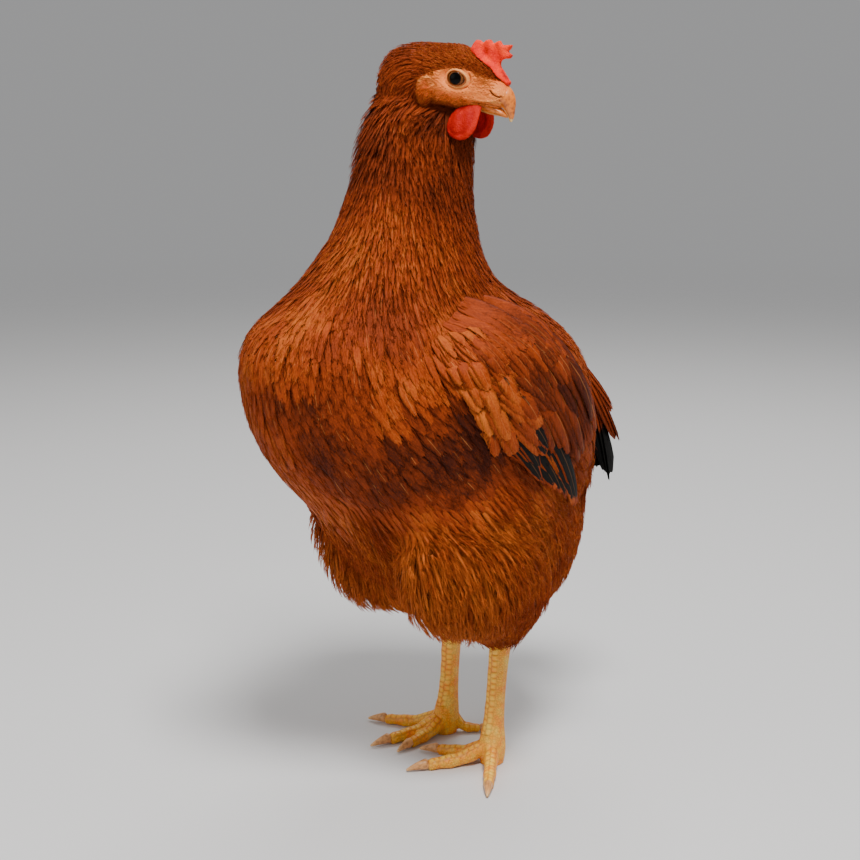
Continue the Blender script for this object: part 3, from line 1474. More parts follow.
@dataclass
class Feathers:
    """A set of feathers, given by their middle lines, ready to be made one mesh."""

    # Half the width and the length of a feather's place on the skin's flat layout
    PLACE_WIDE: ClassVar[float] = 0.0015
    PLACE_LONG: ClassVar[float] = 0.003
    # Each feather reads the pattern of its barbs from its own place within so many millimetres
    PATTERN_MM: ClassVar[float] = 300
    spines: Array
    faces: Array
    widths: Array
    tone: Array
    black: Array
    root_layout: Array
    quill: Optional[Array] = None
    camber: float = 0.04
    columns: int = 4
    jag_mm: float = 0.0
    barbs: Barbs = Barbs()

    def mesh(self, name: str, rng: np.random.Generator) -> Piece:
        """Make the closed vanes, domed over a flat under face, and their loose barbs.

        Args:
            name: The piece's name.
            rng: The seeded source of random numbers.

        Returns:
            The piece, with its Vane, Barb and OFBake maps and its tones.
        """
        self.shift = rng.random((len(self.spines), 2)) * self.PATTERN_MM
        self.ahead = unit(np.gradient(self.spines, axis=1))
        self.side = unit(np.cross(self.ahead, self.faces))
        length = np.linalg.norm(np.diff(self.spines, axis=1), axis=2)
        self.run = np.concatenate([np.zeros((len(length), 1)), np.cumsum(length, axis=1)], axis=1)
        parts = [self._vanes(rng)]
        if self.barbs.count:
            parts.append(self._blades(rng))
        points, faces, counts = [], [], []
        base = 0
        for part in parts:
            points.append(part["points"])
            faces.append((part["faces"] + base).ravel())
            counts.append(np.full(len(part["faces"]), part["faces"].shape[1]))
            base += len(part["points"])
        piece = self._object(name, np.concatenate(points), np.concatenate(faces), np.concatenate(counts))
        for title in ("OFBake", "Vane", "Barb"):
            Bench.flat_map(piece, title, np.concatenate([part[title] for part in parts]))
        for title in ("Tone", "Black", "Quill"):
            Bench.attribute(piece, title, np.concatenate([part[title] for part in parts]))
        return piece

    def _maps(self, across: Array, along: Array, reach: Array, run: Array) -> dict[str, Array]:
        """Lay out the flat maps from places on each vane.

        Args:
            across: From -1 to 1 over the vane.
            along: From 0 to 1 up the vane.
            reach: The distance from the shaft in millimetres.
            run: The distance from the root in millimetres.

        Returns:
            The OFBake, Vane and Barb maps, one row to a point.
        """
        shape = across.shape
        one = (slice(None),) + (None,) * (len(shape) - 1)
        cos, sin = math.cos(self.barbs.angle), math.sin(self.barbs.angle)
        barb = (
            reach * cos - run * sin + self.shift[one + (0,)],
            reach * sin + run * cos + self.shift[one + (1,)],
        )
        patch = (
            self.root_layout[one + (0,)] + across.clip(-1, 1) * self.PLACE_WIDE,
            self.root_layout[one + (1,)] + (along.clip(0, 1) - 0.5) * self.PLACE_LONG,
        )
        maps = {"OFBake": patch, "Vane": (across, along), "Barb": barb}
        return {
            title: np.stack([np.broadcast_to(part, shape).ravel() for part in pair], axis=1)
            for title, pair in maps.items()
        }

    def _vanes(self, rng: np.random.Generator) -> dict[str, Array]:
        """Make the vanes.

        Args:
            rng: The seeded source of random numbers.

        Returns:
            Their points, faces and maps by name.
        """
        count, rows, _ = self.spines.shape
        top = self.columns + 1
        across = np.linspace(-1, 1, top)
        half = self.widths / 2
        dome = self.camber * self.widths[..., None] * (1 - across**2)
        points = (
            self.spines[:, :, None]
            + self.side[:, :, None] * (half[..., None] * across)[..., None]
            + self.faces[:, :, None] * dome[..., None]
        )
        forked = np.where(np.arange(top) % 2 == 0, -0.5, 0.5)
        for row, strength in ((-1, 1.0), (-2, 0.45)):
            shove = (forked + rng.random((count, top)) - 0.5) * self.jag_mm * strength * MM
            points[:, row] += self.ahead[:, row][:, None] * shove[..., None]
        quads = self._quads(rows, top)[None] + (np.arange(count) * rows * top)[:, None, None]
        shape = (count, rows, top)
        wide = np.broadcast_to(across, shape)
        along = np.broadcast_to(np.linspace(0, 1, rows)[None, :, None], shape)
        maps = self._maps(wide, along, np.abs(across) * half[..., None] / MM, self.run[..., None] / MM)
        quill = np.zeros((1, 1, 1)) if self.quill is None else self.quill
        numbers = {"Tone": self.tone, "Black": self.black, "Quill": quill}
        return {
            "points": points.reshape(-1, 3),
            "faces": quads.reshape(-1, 4),
            **maps,
            **{title: np.broadcast_to(table, shape).ravel() for title, table in numbers.items()},
        }

    def _blades(self, rng: np.random.Generator) -> dict[str, Array]:
        """Make the loose barbs: slender blades of six faces that lie on the vane.

        Args:
            rng: The seeded source of random numbers.

        Returns:
            Their points, faces and maps by name.
        """
        barbs = self.barbs
        count, rows, _ = self.spines.shape
        shape = (count, barbs.count)
        whole = self.run[:, -1:]
        start = mix(barbs.first, 0.97, rng.random(shape) ** 0.8)
        sign = np.where(rng.random(shape) < 0.5, -1.0, 1.0)
        angle = sign * barbs.angle + vary(rng, shape, barbs.spread)
        size = barbs.length_mm * MM * rng.uniform(0.6, 1.15, shape)
        run = start * whole
        half = self._along(self.widths[..., None] / 2, start)[..., 0]
        x = sign * half * rng.random(shape) ** 0.8
        tip_run = np.minimum(run + size * np.cos(angle), whole + barbs.length_mm * 0.4 * MM)
        tip_x = x + size * np.sin(angle)
        wide = barbs.width_mm * MM * rng.uniform(0.7, 1.3, shape) / 2
        rise = barbs.raise_mm * MM * rng.uniform(0.5, 1.3, shape)

        def spot(run_at: Array, x_at: Array, over: Array) -> Array:
            """Give a place over the vane."""
            share = run_at / whole
            centre, side, face = (self._along(t, share) for t in (self.spines, self.side, self.faces))
            dome = self.camber * 2 * half * (1 - np.minimum(np.abs(x_at) / half, 1) ** 2)
            return centre + unit(side) * x_at[..., None] + unit(face) * (dome + over)[..., None]

        cos, sin = np.cos(angle), np.sin(angle)
        middle, bend = (run * 0.6 + tip_run * 0.4), (x * 0.6 + tip_x * 0.4)
        corners = np.stack(
            [
                spot(run, x, -rise * 0.2),
                spot(middle - sin * wide, bend + cos * wide, rise * 0.5),
                spot(middle + sin * wide, bend - cos * wide, rise * 0.5),
                spot(middle, bend, rise * 1.6),
                spot(tip_run, tip_x, rise * 0.6),
            ],
            axis=2,
        )
        base = np.array([[0, 1, 3], [0, 3, 2], [0, 2, 1], [4, 3, 1], [4, 2, 3], [4, 1, 2]])
        faces = base[None] + (np.arange(count * barbs.count) * 5)[:, None, None]
        across = np.broadcast_to((x / half)[..., None] * 0.6 + 0.3 * sign[..., None], (*shape, 5))
        along = np.broadcast_to(start[..., None], (*shape, 5))
        maps = self._maps(across, along, np.abs(x)[..., None] / MM, run[..., None] / MM)
        tone = self.tone.reshape(count, -1).mean(axis=1)[:, None] + vary(rng, shape, barbs.mottle)
        table = np.broadcast_to(self.black, (count, rows, self.black.shape[2]))
        black = self._along(table[:, :, self.black.shape[2] // 2, None], start)[..., 0]
        numbers = {"Tone": tone[..., None], "Black": black[..., None], "Quill": np.zeros((1, 1, 1))}
        return {
            "points": corners.reshape(-1, 3),
            "faces": faces.reshape(-1, 3),
            **maps,
            **{title: np.broadcast_to(t, (*shape, 5)).ravel() for title, t in numbers.items()},
        }

    def _along(self, table: Array, share: Array) -> Array:
        """Read a table of rows at shares of the vane's length, also a little past its end.

        Args:
            table: One row of numbers for each station of each feather.
            share: Places along each feather.

        Returns:
            The numbers there.
        """
        rows = table.shape[1]
        place = share * (rows - 1)
        start = np.clip(np.floor(place).astype(int), 0, rows - 2)
        each = np.arange(len(table))[:, None]
        first, second = table[each, start], table[each, start + 1]
        return first + (second - first) * (place - start)[..., None]

    @staticmethod
    def _quads(rows: int, top: int) -> Array:
        """List one vane's quads: the upper face, then the lower face from edge to edge."""
        upper = [
            (r * top + c, r * top + c + 1, (r + 1) * top + c + 1, (r + 1) * top + c)
            for r in range(rows - 1)
            for c in range(top - 1)
        ]
        lower = [
            (r * top, (r + 1) * top, (r + 1) * top + top - 1, r * top + top - 1)
            for r in range(rows - 1)
        ]
        return np.array(upper + lower)

    @staticmethod
    def _object(name: str, points: Array, corners: Array, counts: Array) -> Piece:
        """Make an object from points and faces of several sizes.

        Args:
            name: The object's name.
            points: The points.
            corners: The points at the faces' corners, face by face.
            counts: How many corners each face has.

        Returns:
            The object.
        """
        mesh = bpy.data.meshes.new(name)
        mesh.vertices.add(len(points))
        mesh.vertices.foreach_set("co", points.astype(np.float32).ravel())
        mesh.loops.add(len(corners))
        mesh.loops.foreach_set("vertex_index", corners.astype(np.int32))
        mesh.polygons.add(len(counts))
        starts = np.concatenate([[0], np.cumsum(counts)[:-1]])
        mesh.polygons.foreach_set("loop_start", starts.astype(np.int32))
        mesh.update(calc_edges=True)
        return Bench.link(name, mesh)


# A size in millimetres, or what gives it for some roots
Measure = Union[float, Callable[[Array], Array]]


@dataclass
class Patch:
    """A part of the coat: where it grows and how large its feathers are."""

    # How high in millimetres feathers stand off the skin at most, and bristles always
    HIGHEST: ClassVar[float] = 4.5
    BRISTLES: ClassVar[float] = 0.35

    name: str
    where: Callable[[Array], Array]
    length: Measure
    width: Measure
    spacing: Measure
    shape: Array
    slot: str = "plumage"
    columns: int = 4
    unruly: float = 0.1
    lift: Measure = 1.0
    camber: float = 0.04
    jag_mm: float = 1.2
    mottle: float = 0.045
    quill: float = 0.4
    on_head: bool = False
    on_face: bool = False
    paler: float = 0.0
    root: float = 0.15
    barbs: Barbs = Barbs()

    @staticmethod
    def at_roots(size: Measure, roots: Array) -> Array:
        """Give a size at each root."""
        return size(roots) if callable(size) else np.full(len(roots), size)

    def apart(self, places: Array) -> Array:
        """Give how far apart in metres roots stand, and 0 where none grow."""
        return np.where(self.where(places), self.at_roots(self.spacing, places), 0.0) * MM

    def grow(self, ground: Ground, finish: bpy.types.Material, rng: np.random.Generator) -> Piece:
        """Grow the patch's feathers over the hide.

        Args:
            ground: The hide.
            finish: The feathers' material.
            rng: The seeded source of random numbers.

        Returns:
            The finished piece.
        """
        roots = ground.scatter(self.apart, self.on_head, rng)
        count, rows = len(roots), len(self.shape)
        uneven = 1 + vary(rng, count, 0.12)
        length = self.at_roots(self.length, roots) * uneven * MM
        width = self.at_roots(self.width, roots) * (1 + vary(rng, count, 0.1)) * MM
        places, normals, faces = ground.nearest(roots)
        layout = ground.layout_at(faces, places)
        depth = (Plumage.head_depth(roots) if self.on_head else Plumage.depth(roots)) * MM
        depth = np.full(count, self.BRISTLES * MM) if self.on_face else np.minimum(depth, self.HIGHEST * MM)
        turn = vary(rng, count, self.unruly)
        way = Plumage.lie(places, normals)
        way = unit(way + np.cross(normals, way) * np.tan(turn)[:, None])
        high = depth * self.at_roots(self.lift, roots) * (1 + vary(rng, count, 0.05))
        ground_line, outs = np.empty((count, rows, 3)), np.empty((count, rows, 3))
        step = length / (rows - 1)
        for row in range(rows):
            ground_line[:, row] = places
            outs[:, row] = normals
            places, fresh, _ = ground.nearest(places + way * step[:, None])
            normals = unit(mix(normals, fresh, 0.7))
            way = unit(way - normals * dot(way, normals))
            way = unit(mix(way, Plumage.lie(places, normals), 0.25))
        stands_out, shade = Plumage.lobe(ground_line[:, -1])
        high = high + (Plumage.puff(roots) + stands_out) * MM
        rise = self.root + (1 - self.root) * np.linspace(0, 1, rows) ** 0.9
        spines = ground_line + outs * (high[:, None] * rise)[..., None]
        roll = vary(rng, count, 0.02)
        ahead = unit(np.gradient(spines, axis=1))
        side = np.cross(ahead, outs)
        outs = unit(outs + side * roll[:, None, None])
        tone = Plumage.tone(ground_line[:, -2]) + vary(rng, count, self.mottle)
        tone = tone + self.paler + 0.035 * stands_out - 0.15 * shade
        quill = self.quill * smooth(rng.random(count), 0.7, 0.9)
        keep = Plumage.clear(spines) | self.on_face
        widths = (self.shape * width[:, None])[keep]
        marks = tone[keep, None, None], np.zeros((1, 1, 1)), layout[keep], quill[keep, None, None]
        make = self.camber, self.columns, self.jag_mm, self.barbs
        piece = Feathers(spines[keep], outs[keep], widths, *marks, *make).mesh(self.name, rng)
        LOG.info("%s: %d feathers", self.name, keep.sum())
        return Bench.finish(piece, self.slot, finish)


class Coat:
    """The small feathers of the head, neck, trunk and thighs."""

    # Where the parts meet, in the hen's own millimetres up and forward
    NECK_FOOT = 296
    THIGH_TOP = 165
    BACK_END = 26

    def __init__(self, ground: Ground, seed: int = 11) -> None:
        """Keep the hide and the seed."""
        self.ground = ground
        self.seed = seed

    @staticmethod
    def covered(points: Array) -> Array:
        """Tell where a wing's own rows cover the hide."""
        forward, left, up = hen_sizes(points)
        return (np.abs(left) > 45) & (inside(WING_OUTLINE, forward, up) > 15)

    def patches(self) -> list[Patch]:
        """Describe the parts of the coat."""
        head, fluff, nape, fuzzy = Plumage.head, Plumage.fluff, Plumage.nape, HeadSkin.fuzzy
        forward, left, height = (lambda p, k=k: hen_sizes(p)[k] for k in range(3))
        trunk = lambda p: (height(p) <= self.NECK_FOOT) & (fluff(p) <= 0.5) & ~self.covered(p)
        thigh = lambda p: (fluff(p) > 0.5) & (height(p) < self.THIGH_TOP)
        vent = lambda p: (fluff(p) > 0.5) & (height(p) >= self.THIGH_TOP) & (height(p) <= self.NECK_FOOT)
        bristly = lambda p: smooth(Plumage.off_skin(p), 0.5, 5.0)
        loose = lambda p: smooth(fluff(p), 0.0, 0.3)
        rising = lambda p: smooth(height(p), 225, 290)
        upper = lambda p: smooth(height(p), 250, 296)
        return [
            Patch(
                "head_plumage",
                lambda p: Plumage.off_skin(p) > 0.2,
                lambda p: mix(mix(2.2, 5.0, bristly(p)), 13, nape(p)),
                lambda p: mix(mix(0.5, 1.0, bristly(p)), 1.6, nape(p)),
                lambda p: mix(mix(0.8, 0.92, bristly(p)), 1.3, nape(p)),
                POINTED[[0, 2, 3, 5]],
                columns=2,
                unruly=0.12,
                jag_mm=0.2,
                lift=lambda p: mix(1.0, 2.3, nape(p)),
                mottle=0.06,
                on_head=True,
                barbs=Barbs(6, 2.8, 0.2, angle=0.2, raise_mm=0.12, mottle=0.12),
            ),
            Patch(
                "face_bristles",
                lambda p: fuzzy(p) > 0,
                lambda p: mix(1.5, 2.6, smooth(1.5 - Plumage.face(p), -3.0, 0.0)),
                0.3,
                lambda p: mix(1.1, 0.55, fuzzy(p)),
                POINTED[[0, 2, 5]],
                slot="face",
                columns=2,
                unruly=0.3,
                jag_mm=0.0,
                camber=0.2,
                mottle=0.12,
                quill=0.0,
                on_head=True,
                on_face=True,
                paler=0.3,
            ),
            Patch(
                "neck_plumage",
                lambda p: height(p) > self.NECK_FOOT,
                lambda p: mix(mix(18, 26, smooth(-height(p), -350, -300)), 12, head(p)),
                lambda p: mix(3.5, 1.9, head(p)),
                lambda p: mix(2.2, 1.45, head(p)),
                POINTED,
                columns=2,
                unruly=0.09,
                lift=lambda p: mix(0.75, 0.9, head(p)),
                camber=0.02,
                quill=0.6,
                root=-0.02,
                barbs=Barbs(7, 6.0, 0.3, angle=0.16, spread=0.1, raise_mm=0.12, mottle=0.08),
            ),
            self._firm(
                "breast_plumage",
                lambda p: trunk(p) & (forward(p) > self.BACK_END),
                lambda p: mix(21, 25, upper(p)),
                lambda p: mix(mix(7.0, 4.8, rising(p)), 3.2, loose(p)),
                lambda p: mix(mix(4.1, 3.1, rising(p)), 3.0, loose(p)),
                mottle=0.09,
                lift=0.7,
            ),
            self._firm(
                "back_plumage",
                lambda p: trunk(p) & (forward(p) <= self.BACK_END),
                lambda p: mix(25, 26, upper(p)),
                lambda p: mix(mix(6.6, 4.2, rising(p)), 3.2, loose(p)),
                lambda p: mix(mix(4.1, 3.2, rising(p)), 3.0, loose(p)),
                mottle=0.1,
                root=-0.2,
            ),
            self._fluffy("thigh_left_plumage", lambda p: thigh(p) & (left(p) > 0)),
            self._fluffy("thigh_right_plumage", lambda p: thigh(p) & (left(p) <= 0)),
            self._fluffy("vent_plumage", vent),
        ]

    @staticmethod
    def _firm(name: str, *sizes: Callable[[Array], Array], mottle: float, **settings: float) -> Patch:
        """Describe a part of firm, rounded feathers.

        Args:
            name: The piece's name.
            sizes: Where it grows, and its feathers' length, width and spacing.
            mottle: How much the tone of the barbs varies.
            settings: Other fields of the patch.

        Returns:
            The patch.
        """
        barbs = Barbs(10, 6.5, 0.36, angle=0.2, spread=0.12, first=0.4, raise_mm=0.12, mottle=mottle)
        shape = ROUNDED[[0, 1, 3, 4, 6, 7]]
        return Patch(name, *sizes, shape, camber=0.02, quill=0.6, mottle=0.035, barbs=barbs, **settings)

    @staticmethod
    def _fluffy(name: str, where: Callable[[Array], Array]) -> Patch:
        """Describe a part of soft, loose feathers.

        Args:
            name: The piece's name.
            where: Tells where it grows.

        Returns:
            The patch.
        """
        barbs = Barbs(13, 9.0, 0.3, angle=0.2, spread=0.16, first=0.15, raise_mm=0.3, mottle=0.08)
        sizes = (21.0, 3.6, 2.8)
        return Patch(
            name, where, *sizes, WISPY, columns=2, unruly=0.16, camber=0.03, mottle=0.04, barbs=barbs
        )

    def build(self) -> None:
        """Grow every part of the coat."""
        finish = PlumageFinish("plumage").material()
        for number, patch in enumerate(self.patches()):
            patch.grow(self.ground, finish, np.random.default_rng(self.seed + number))


# ---- Wings and tail ----


class Pattern(Enum):
    """How the long feathers are marked."""

    PLAIN = "plain"
    STRIPED = "striped"
    EDGED = "edged"
    CLOUDED = "clouded"
    BLACK_TIP = "black tip"

    def black(self, along: Array, upward: Array) -> Array:
        """Give how black the vane is.

        Args:
            along: How far up the vane, from 0 to 1.
            upward: How far over it, from -1 at its lower edge to 1.

        Returns:
            The shares of black, over the threshold of 0.5 where it is black.
        """
        if self is Pattern.STRIPED:
            return smooth(upward, -0.8, -0.45) * (1 - 0.75 * smooth(along, 0.84, 0.97))
        if self is Pattern.EDGED:
            inner = 1 - smooth(np.abs(upward + 0.1), 0.55, 0.95)
            return inner + 0.5 * (1 - smooth(along, 0.85, 1)) - 0.5
        if self is Pattern.CLOUDED:
            return 0.56 * (1 - smooth(np.abs(upward), 0.2, 0.8)) * (1 - smooth(along, 0.6, 0.85))
        if self is Pattern.BLACK_TIP:
            return smooth(along, 0.35, 0.5)
        return np.zeros((1, 1, 1))


PLAIN, STRIPED, EDGED, CLOUDED, BLACK_TIP = Pattern

# The widths of long feathers, from the root to the tip
BLADE = (0.45, 0.72, 0.88, 0.97, 1.0, 0.99, 0.94, 0.8, 0.42)
SPOON = (0.35, 0.6, 0.8, 0.93, 1.0, 1.0, 0.88, 0.45)


@dataclass(frozen=True)
class Row:
    """A row of wing feathers, from its first to its last: roots and tips are forward and up."""

    count: int
    roots: tuple[tuple[float, float], tuple[float, float]]
    tips: tuple[tuple[float, float], tuple[float, float]]
    width: tuple[float, float]
    height: float
    tone: float
    pattern: Pattern = PLAIN
    bend: float = 0.05
    quill: float = 0.4
    pale_edge: float = 0.1
    shape: tuple[float, ...] = BLADE


# Rows of the folded wing, each over those before it
FOLDED_WING = (
    Row(8, ((46, 212), (32, 232)), ((5, 182), (-28, 161)), (9, 10), 3.2, 0.36, STRIPED, 0.05, 0.15),
    Row(7, ((24, 244), (8, 256)), ((-21, 190), (-38, 204)), (11, 13), 3.8, 0.14, PLAIN, 0.07, 0.8),
    Row(7, ((40, 236), (22, 252)), ((4, 196), (-25, 198)), (11, 12), 4.0, 0.16, PLAIN, 0.06, 0.3),
    Row(6, ((50, 220), (42, 234)), ((12, 185), (10, 204)), (9, 9), 4.4, 0.36, EDGED, 0.03, 0.15),
    Row(9, ((54, 250), (28, 272)), ((14, 224), (-27, 212)), (10, 12), 4.2, 0.14, PLAIN, 0.08, 0.4),
    Row(9, ((58, 258), (34, 278)), ((24, 234), (-14, 234)), (10, 11), 4.8, 0.18, PLAIN, 0.08, 0.4),
    Row(6, ((54, 232), (44, 244)), ((15, 203), (24, 220)), (9, 10), 5.2, 0.5, CLOUDED, 0.03, 0.3),
    Row(5, ((60, 244), (50, 254)), ((29, 219), (38, 234)), (9, 10), 5.6, 0.5, CLOUDED, 0.04, 0.2),
    Row(6, ((64, 252), (56, 263)), ((42, 234), (44, 247)), (9, 10), 4.8, 0.44, PLAIN, 0.04, 0.2),
    Row(4, ((56, 224), (49, 232)), ((44, 203), (35, 202)), (8, 8), 5.6, 0.5, CLOUDED, 0.0, 0.2, 0.16, SPOON),
    Row(4, ((63, 236), (56, 242)), ((52, 216), (42, 213)), (8, 8), 6.2, 0.55, PLAIN, 0.0, 0.2, 0.14, SPOON),
    Row(4, ((68, 248), (61, 253)), ((60, 230), (49, 226)), (8, 8), 6.6, 0.58, PLAIN, 0.0, 0.2, 0.12, SPOON),
    Row(4, ((70, 258), (62, 262)), ((66, 242), (54, 240)), (8, 8), 6.6, 0.54, PLAIN, 0.0, 0.2, 0.1, SPOON),
    Row(11, ((62, 264), (40, 284)), ((40, 240), (0, 254)), (8, 9), 4.8, 0.28, PLAIN, 0.08, 0.2, 0.04),
    Row(12, ((68, 268), (52, 284)), ((50, 246), (22, 264)), (7, 8), 4.4, 0.34, PLAIN, 0.06, 0.15, 0.03),
)


class Wing:
    """Rows of feathers that lie over the side of the hen."""

    # A ray that gets this near to the hen's middle, in metres, has missed its side
    FAR_SIDE = 0.03
    # In millimetres: how much roots and tips are scattered, how far the hide may lie from the plain curve
    # and how far a feather is lifted off it at most
    ROOTS, TIPS, OFF_CURVE, LIFTED = 0.7, 1.3, 5, 2.5

    def __init__(self, hand: int, side: str, ground: Ground) -> None:
        """Keep the side and fit a plain curve to the hide there.

        Args:
            hand: 1 on the hen's left and -1 on its right.
            side: The side's name.
            ground: The hide.
        """
        self.hand, self.side, self.ground = hand, side, ground
        grid = np.meshgrid(np.arange(-46, 72, 6), np.arange(160, 286, 6))
        forward, up = (table.ravel() for table in grid)
        near = inside(WING_OUTLINE, forward, up) > -12
        forward, up = forward[near], up[near]
        left = self._cast(forward, up)
        hit = ~np.isnan(left)
        self.curve = np.linalg.lstsq(self._terms(forward[hit], up[hit]), left[hit], rcond=None)[0]

    @staticmethod
    def _terms(forward: Array, up: Array) -> Array:
        """Give the terms of a plain curved surface."""
        f, z = forward / 50, (up - 220) / 50
        return np.stack([np.ones_like(f), f, z, f * f, f * z, z * z], axis=-1)

    def _cast(self, forward: Array, up: Array) -> Array:
        """Find how far to the side the hide lies, or nan where a ray misses it."""
        starts = at(forward, self.hand * 150, up).reshape(-1, 3).tolist()
        inward = Vector((-self.hand, 0, 0))
        hits = (self.ground.tree.ray_cast(Vector(start), inward)[0] for start in starts)
        aside = np.array([0.0 if hit is None else self.hand * hit.x for hit in hits])
        return np.where(aside > self.FAR_SIDE, aside / MM, math.nan).reshape(np.shape(forward))

    def build(self, finish: bpy.types.Material, rng: np.random.Generator) -> None:
        """Make all rows one piece."""
        name = f"wing_{self.side}_feathers"
        pieces = [self._lay(row, rng).mesh(name, rng) for row in FOLDED_WING]
        Bench.finish(Bench.join(name, *pieces), "flight", finish, replaces=(f"wing_{self.side}",))

    def _lay(self, row: Row, rng: np.random.Generator) -> Feathers:
        """Lay out one row along the hide.

        Args:
            row: The row.
            rng: The seeded source of random numbers.

        Returns:
            Its feathers.
        """
        order = np.linspace(0, 1, row.count)[:, None]
        share = np.linspace(0, 1, len(row.shape))
        roots = mix(*np.array(row.roots), order) + rng.normal(0, self.ROOTS, (row.count, 2))
        tips = mix(*np.array(row.tips), order) + rng.normal(0, self.TIPS, (row.count, 2))
        way = tips - roots
        aside = np.stack([-way[:, 1], way[:, 0]], -1)
        bulge = row.bend * 4 * share * (1 - share)
        flat = roots[:, None] + way[:, None] * share[:, None] + aside[:, None] * -bulge[:, None]
        forward, up = flat[..., 0], flat[..., 1]
        plain = self._terms(forward, up) @ self.curve
        cast = self._cast(forward, up)
        near = np.clip(cast, plain - self.OFF_CURVE, plain + self.OFF_CURVE)
        left = np.where(np.isnan(cast), plain, near)
        fit = np.stack([np.ones_like(share), share, share**2], axis=1)
        eased_left = left @ (fit @ np.linalg.pinv(fit)).T
        lift = np.clip((left - eased_left).max(axis=1, keepdims=True), 0, self.LIFTED)
        rise = row.height * (1.7 * smooth(share, 0, 0.5) - 0.7) + 0.6 * order + 0.8 * share
        spines = at(forward, self.hand * (eased_left + lift + rise), up)
        return self._feathers(row, spines, order, rng)

    def _feathers(self, row: Row, spines: Array, order: Array, rng: np.random.Generator) -> Feathers:
        """Give laid-out feathers their faces, widths and markings.

        Args:
            row: The row they belong to.
            spines: Their middle lines.
            order: Their places in the row, from 0 to 1.
            rng: The seeded source of random numbers.

        Returns:
            The feathers.
        """
        forward, _, up = hen_sizes(spines)
        step = 0.5
        ahead_by = self._terms(forward + step, up) - self._terms(forward - step, up)
        above_by = self._terms(forward, up + step) - self._terms(forward, up - step)
        slope_f, slope_z = (by @ self.curve / (2 * step) for by in (ahead_by, above_by))
        normal = unit(np.stack([np.full_like(forward, self.hand), slope_f, -slope_z], axis=-1))
        ahead = unit(np.gradient(spines, axis=1))
        face = unit(normal - ahead * dot(normal, ahead))
        upward = np.cross(face, ahead) * self.hand
        face = unit(face + upward * 0.13)
        across = np.linspace(-1, 1, 5)
        share = np.linspace(0, 1, len(row.shape))[None, :, None]
        size = 1 + vary(rng, row.count, 0.05)
        width = mix(*row.width, order[:, 0]) * size * MM
        tone = row.tone + vary(rng, row.count, 0.09)
        edge = row.pale_edge * np.maximum(np.abs(across) ** 3, smooth(share, 0.75, 1.0))
        places, _, hits = self.ground.nearest(spines[:, 0])
        return Feathers(
            spines,
            face,
            np.array(row.shape) * width[:, None],
            tone[:, None, None] + edge - 0.1 * (share - 0.5),
            row.pattern.black(share, across * -self.hand),
            self.ground.layout_at(hits, places),
            np.full((row.count, 1, 1), row.quill),
            camber=0.07,
            jag_mm=0.8,
            barbs=Barbs(26, 3.2, 0.34, angle=0.4, spread=0.1, first=0.15, raise_mm=0.1, mottle=0.06),
        )




@dataclass(frozen=True)
class Tier:
    """A row of tail feathers, from the tail's left edge over its top to its right edge."""

    count: int
    share: float
    angle: tuple[float, float]
    length: float
    width: float
    lift: float
    height: float
    bend: float
    tone: float
    pattern: Pattern = PLAIN


class Tail:
    """Tiers of long feathers over the tail, each over those before it."""

    SHAPE = np.array([0.4, 0.7, 0.9, 1.0, 1.0, 0.96, 0.85, 0.35])
    TIERS = (
        Tier(16, 0.42, (0.15, -3.29), 64, 13, -0.1, -0.5, 0.14, 0.34, BLACK_TIP),
        Tier(15, 0.3, (-0.1, -3.04), 56, 11, -0.04, 1.0, 0.2, 0.34),
        Tier(14, 0.18, (-0.2, -2.94), 48, 10, 0.0, 1.7, 0.22, 0.4),
        Tier(13, 0.06, (-0.3, -2.84), 42, 9, 0.02, 2.4, 0.25, 0.44),
    )

    def build(self, ground: Ground, finish: bpy.types.Material, rng: np.random.Generator) -> None:
        """Make all tiers one piece."""
        tiers = [self._lay(tier, ground, rng) for tier in self.TIERS]
        pieces = [feathers.mesh("tail_feathers", rng) for feathers in tiers]
        Bench.finish(Bench.join("tail_feathers", *pieces), "flight", finish, replaces=("tail",))

    def _lay(self, tier: Tier, ground: Ground, rng: np.random.Generator) -> Feathers:
        """Lay out one tier round the loft under the tail.

        Args:
            tier: The tier.
            ground: The hide.
            rng: The seeded source of random numbers.

        Returns:
            Its feathers.
        """
        angle = mix(*tier.angle, np.linspace(0, 1, tier.count))
        place, normal, along, out = Loft(TAIL_ROWS, 12, 16).spots(tier.share, angle)
        way = unit(along - normal * dot(along, normal) + normal * tier.lift)
        face = unit(normal - way * dot(normal, way) - out * 0.18)
        uneven = 1 + vary(rng, tier.count, 0.06)
        length = tier.length * uneven * MM
        share = np.linspace(0, 1, len(self.SHAPE))
        reach = np.sin(tier.bend * share) / tier.bend
        sink = (1 - np.cos(tier.bend * share)) / tier.bend
        spines = (
            place[:, None]
            + way[:, None] * (length[:, None] * reach)[..., None]
            - face[:, None] * (length[:, None] * sink)[..., None]
            + face[:, None] * tier.height * MM
        )
        tone = tier.tone + vary(rng, tier.count, 0.06)
        places, _, hits = ground.nearest(place)
        return Feathers(
            spines,
            np.broadcast_to(face[:, None], spines.shape),
            self.SHAPE * (tier.width * uneven * MM)[:, None],
            tone[:, None, None],
            tier.pattern.black(share[None, :, None], np.zeros(1)),
            ground.layout_at(hits, places),
            camber=0.06,
            jag_mm=0.8,
            barbs=Barbs(22, 3.6, 0.34, angle=0.4, spread=0.1, first=0.15, raise_mm=0.1, mottle=0.07),
        )


class Flight:
    """The wings' and the tail's long feathers."""

    def build(self, ground: Ground) -> None:
        """Make both wings and the tail."""
        finish = PlumageFinish("flight feathers", barb_mm=1.0, barb_depth=0.2).material()
        for hand, side in ((1, "left"), (-1, "right")):
            Wing(hand, side, ground).build(finish, np.random.default_rng(40))
        Tail().build(ground, finish, np.random.default_rng(42))


# ---- Head ----

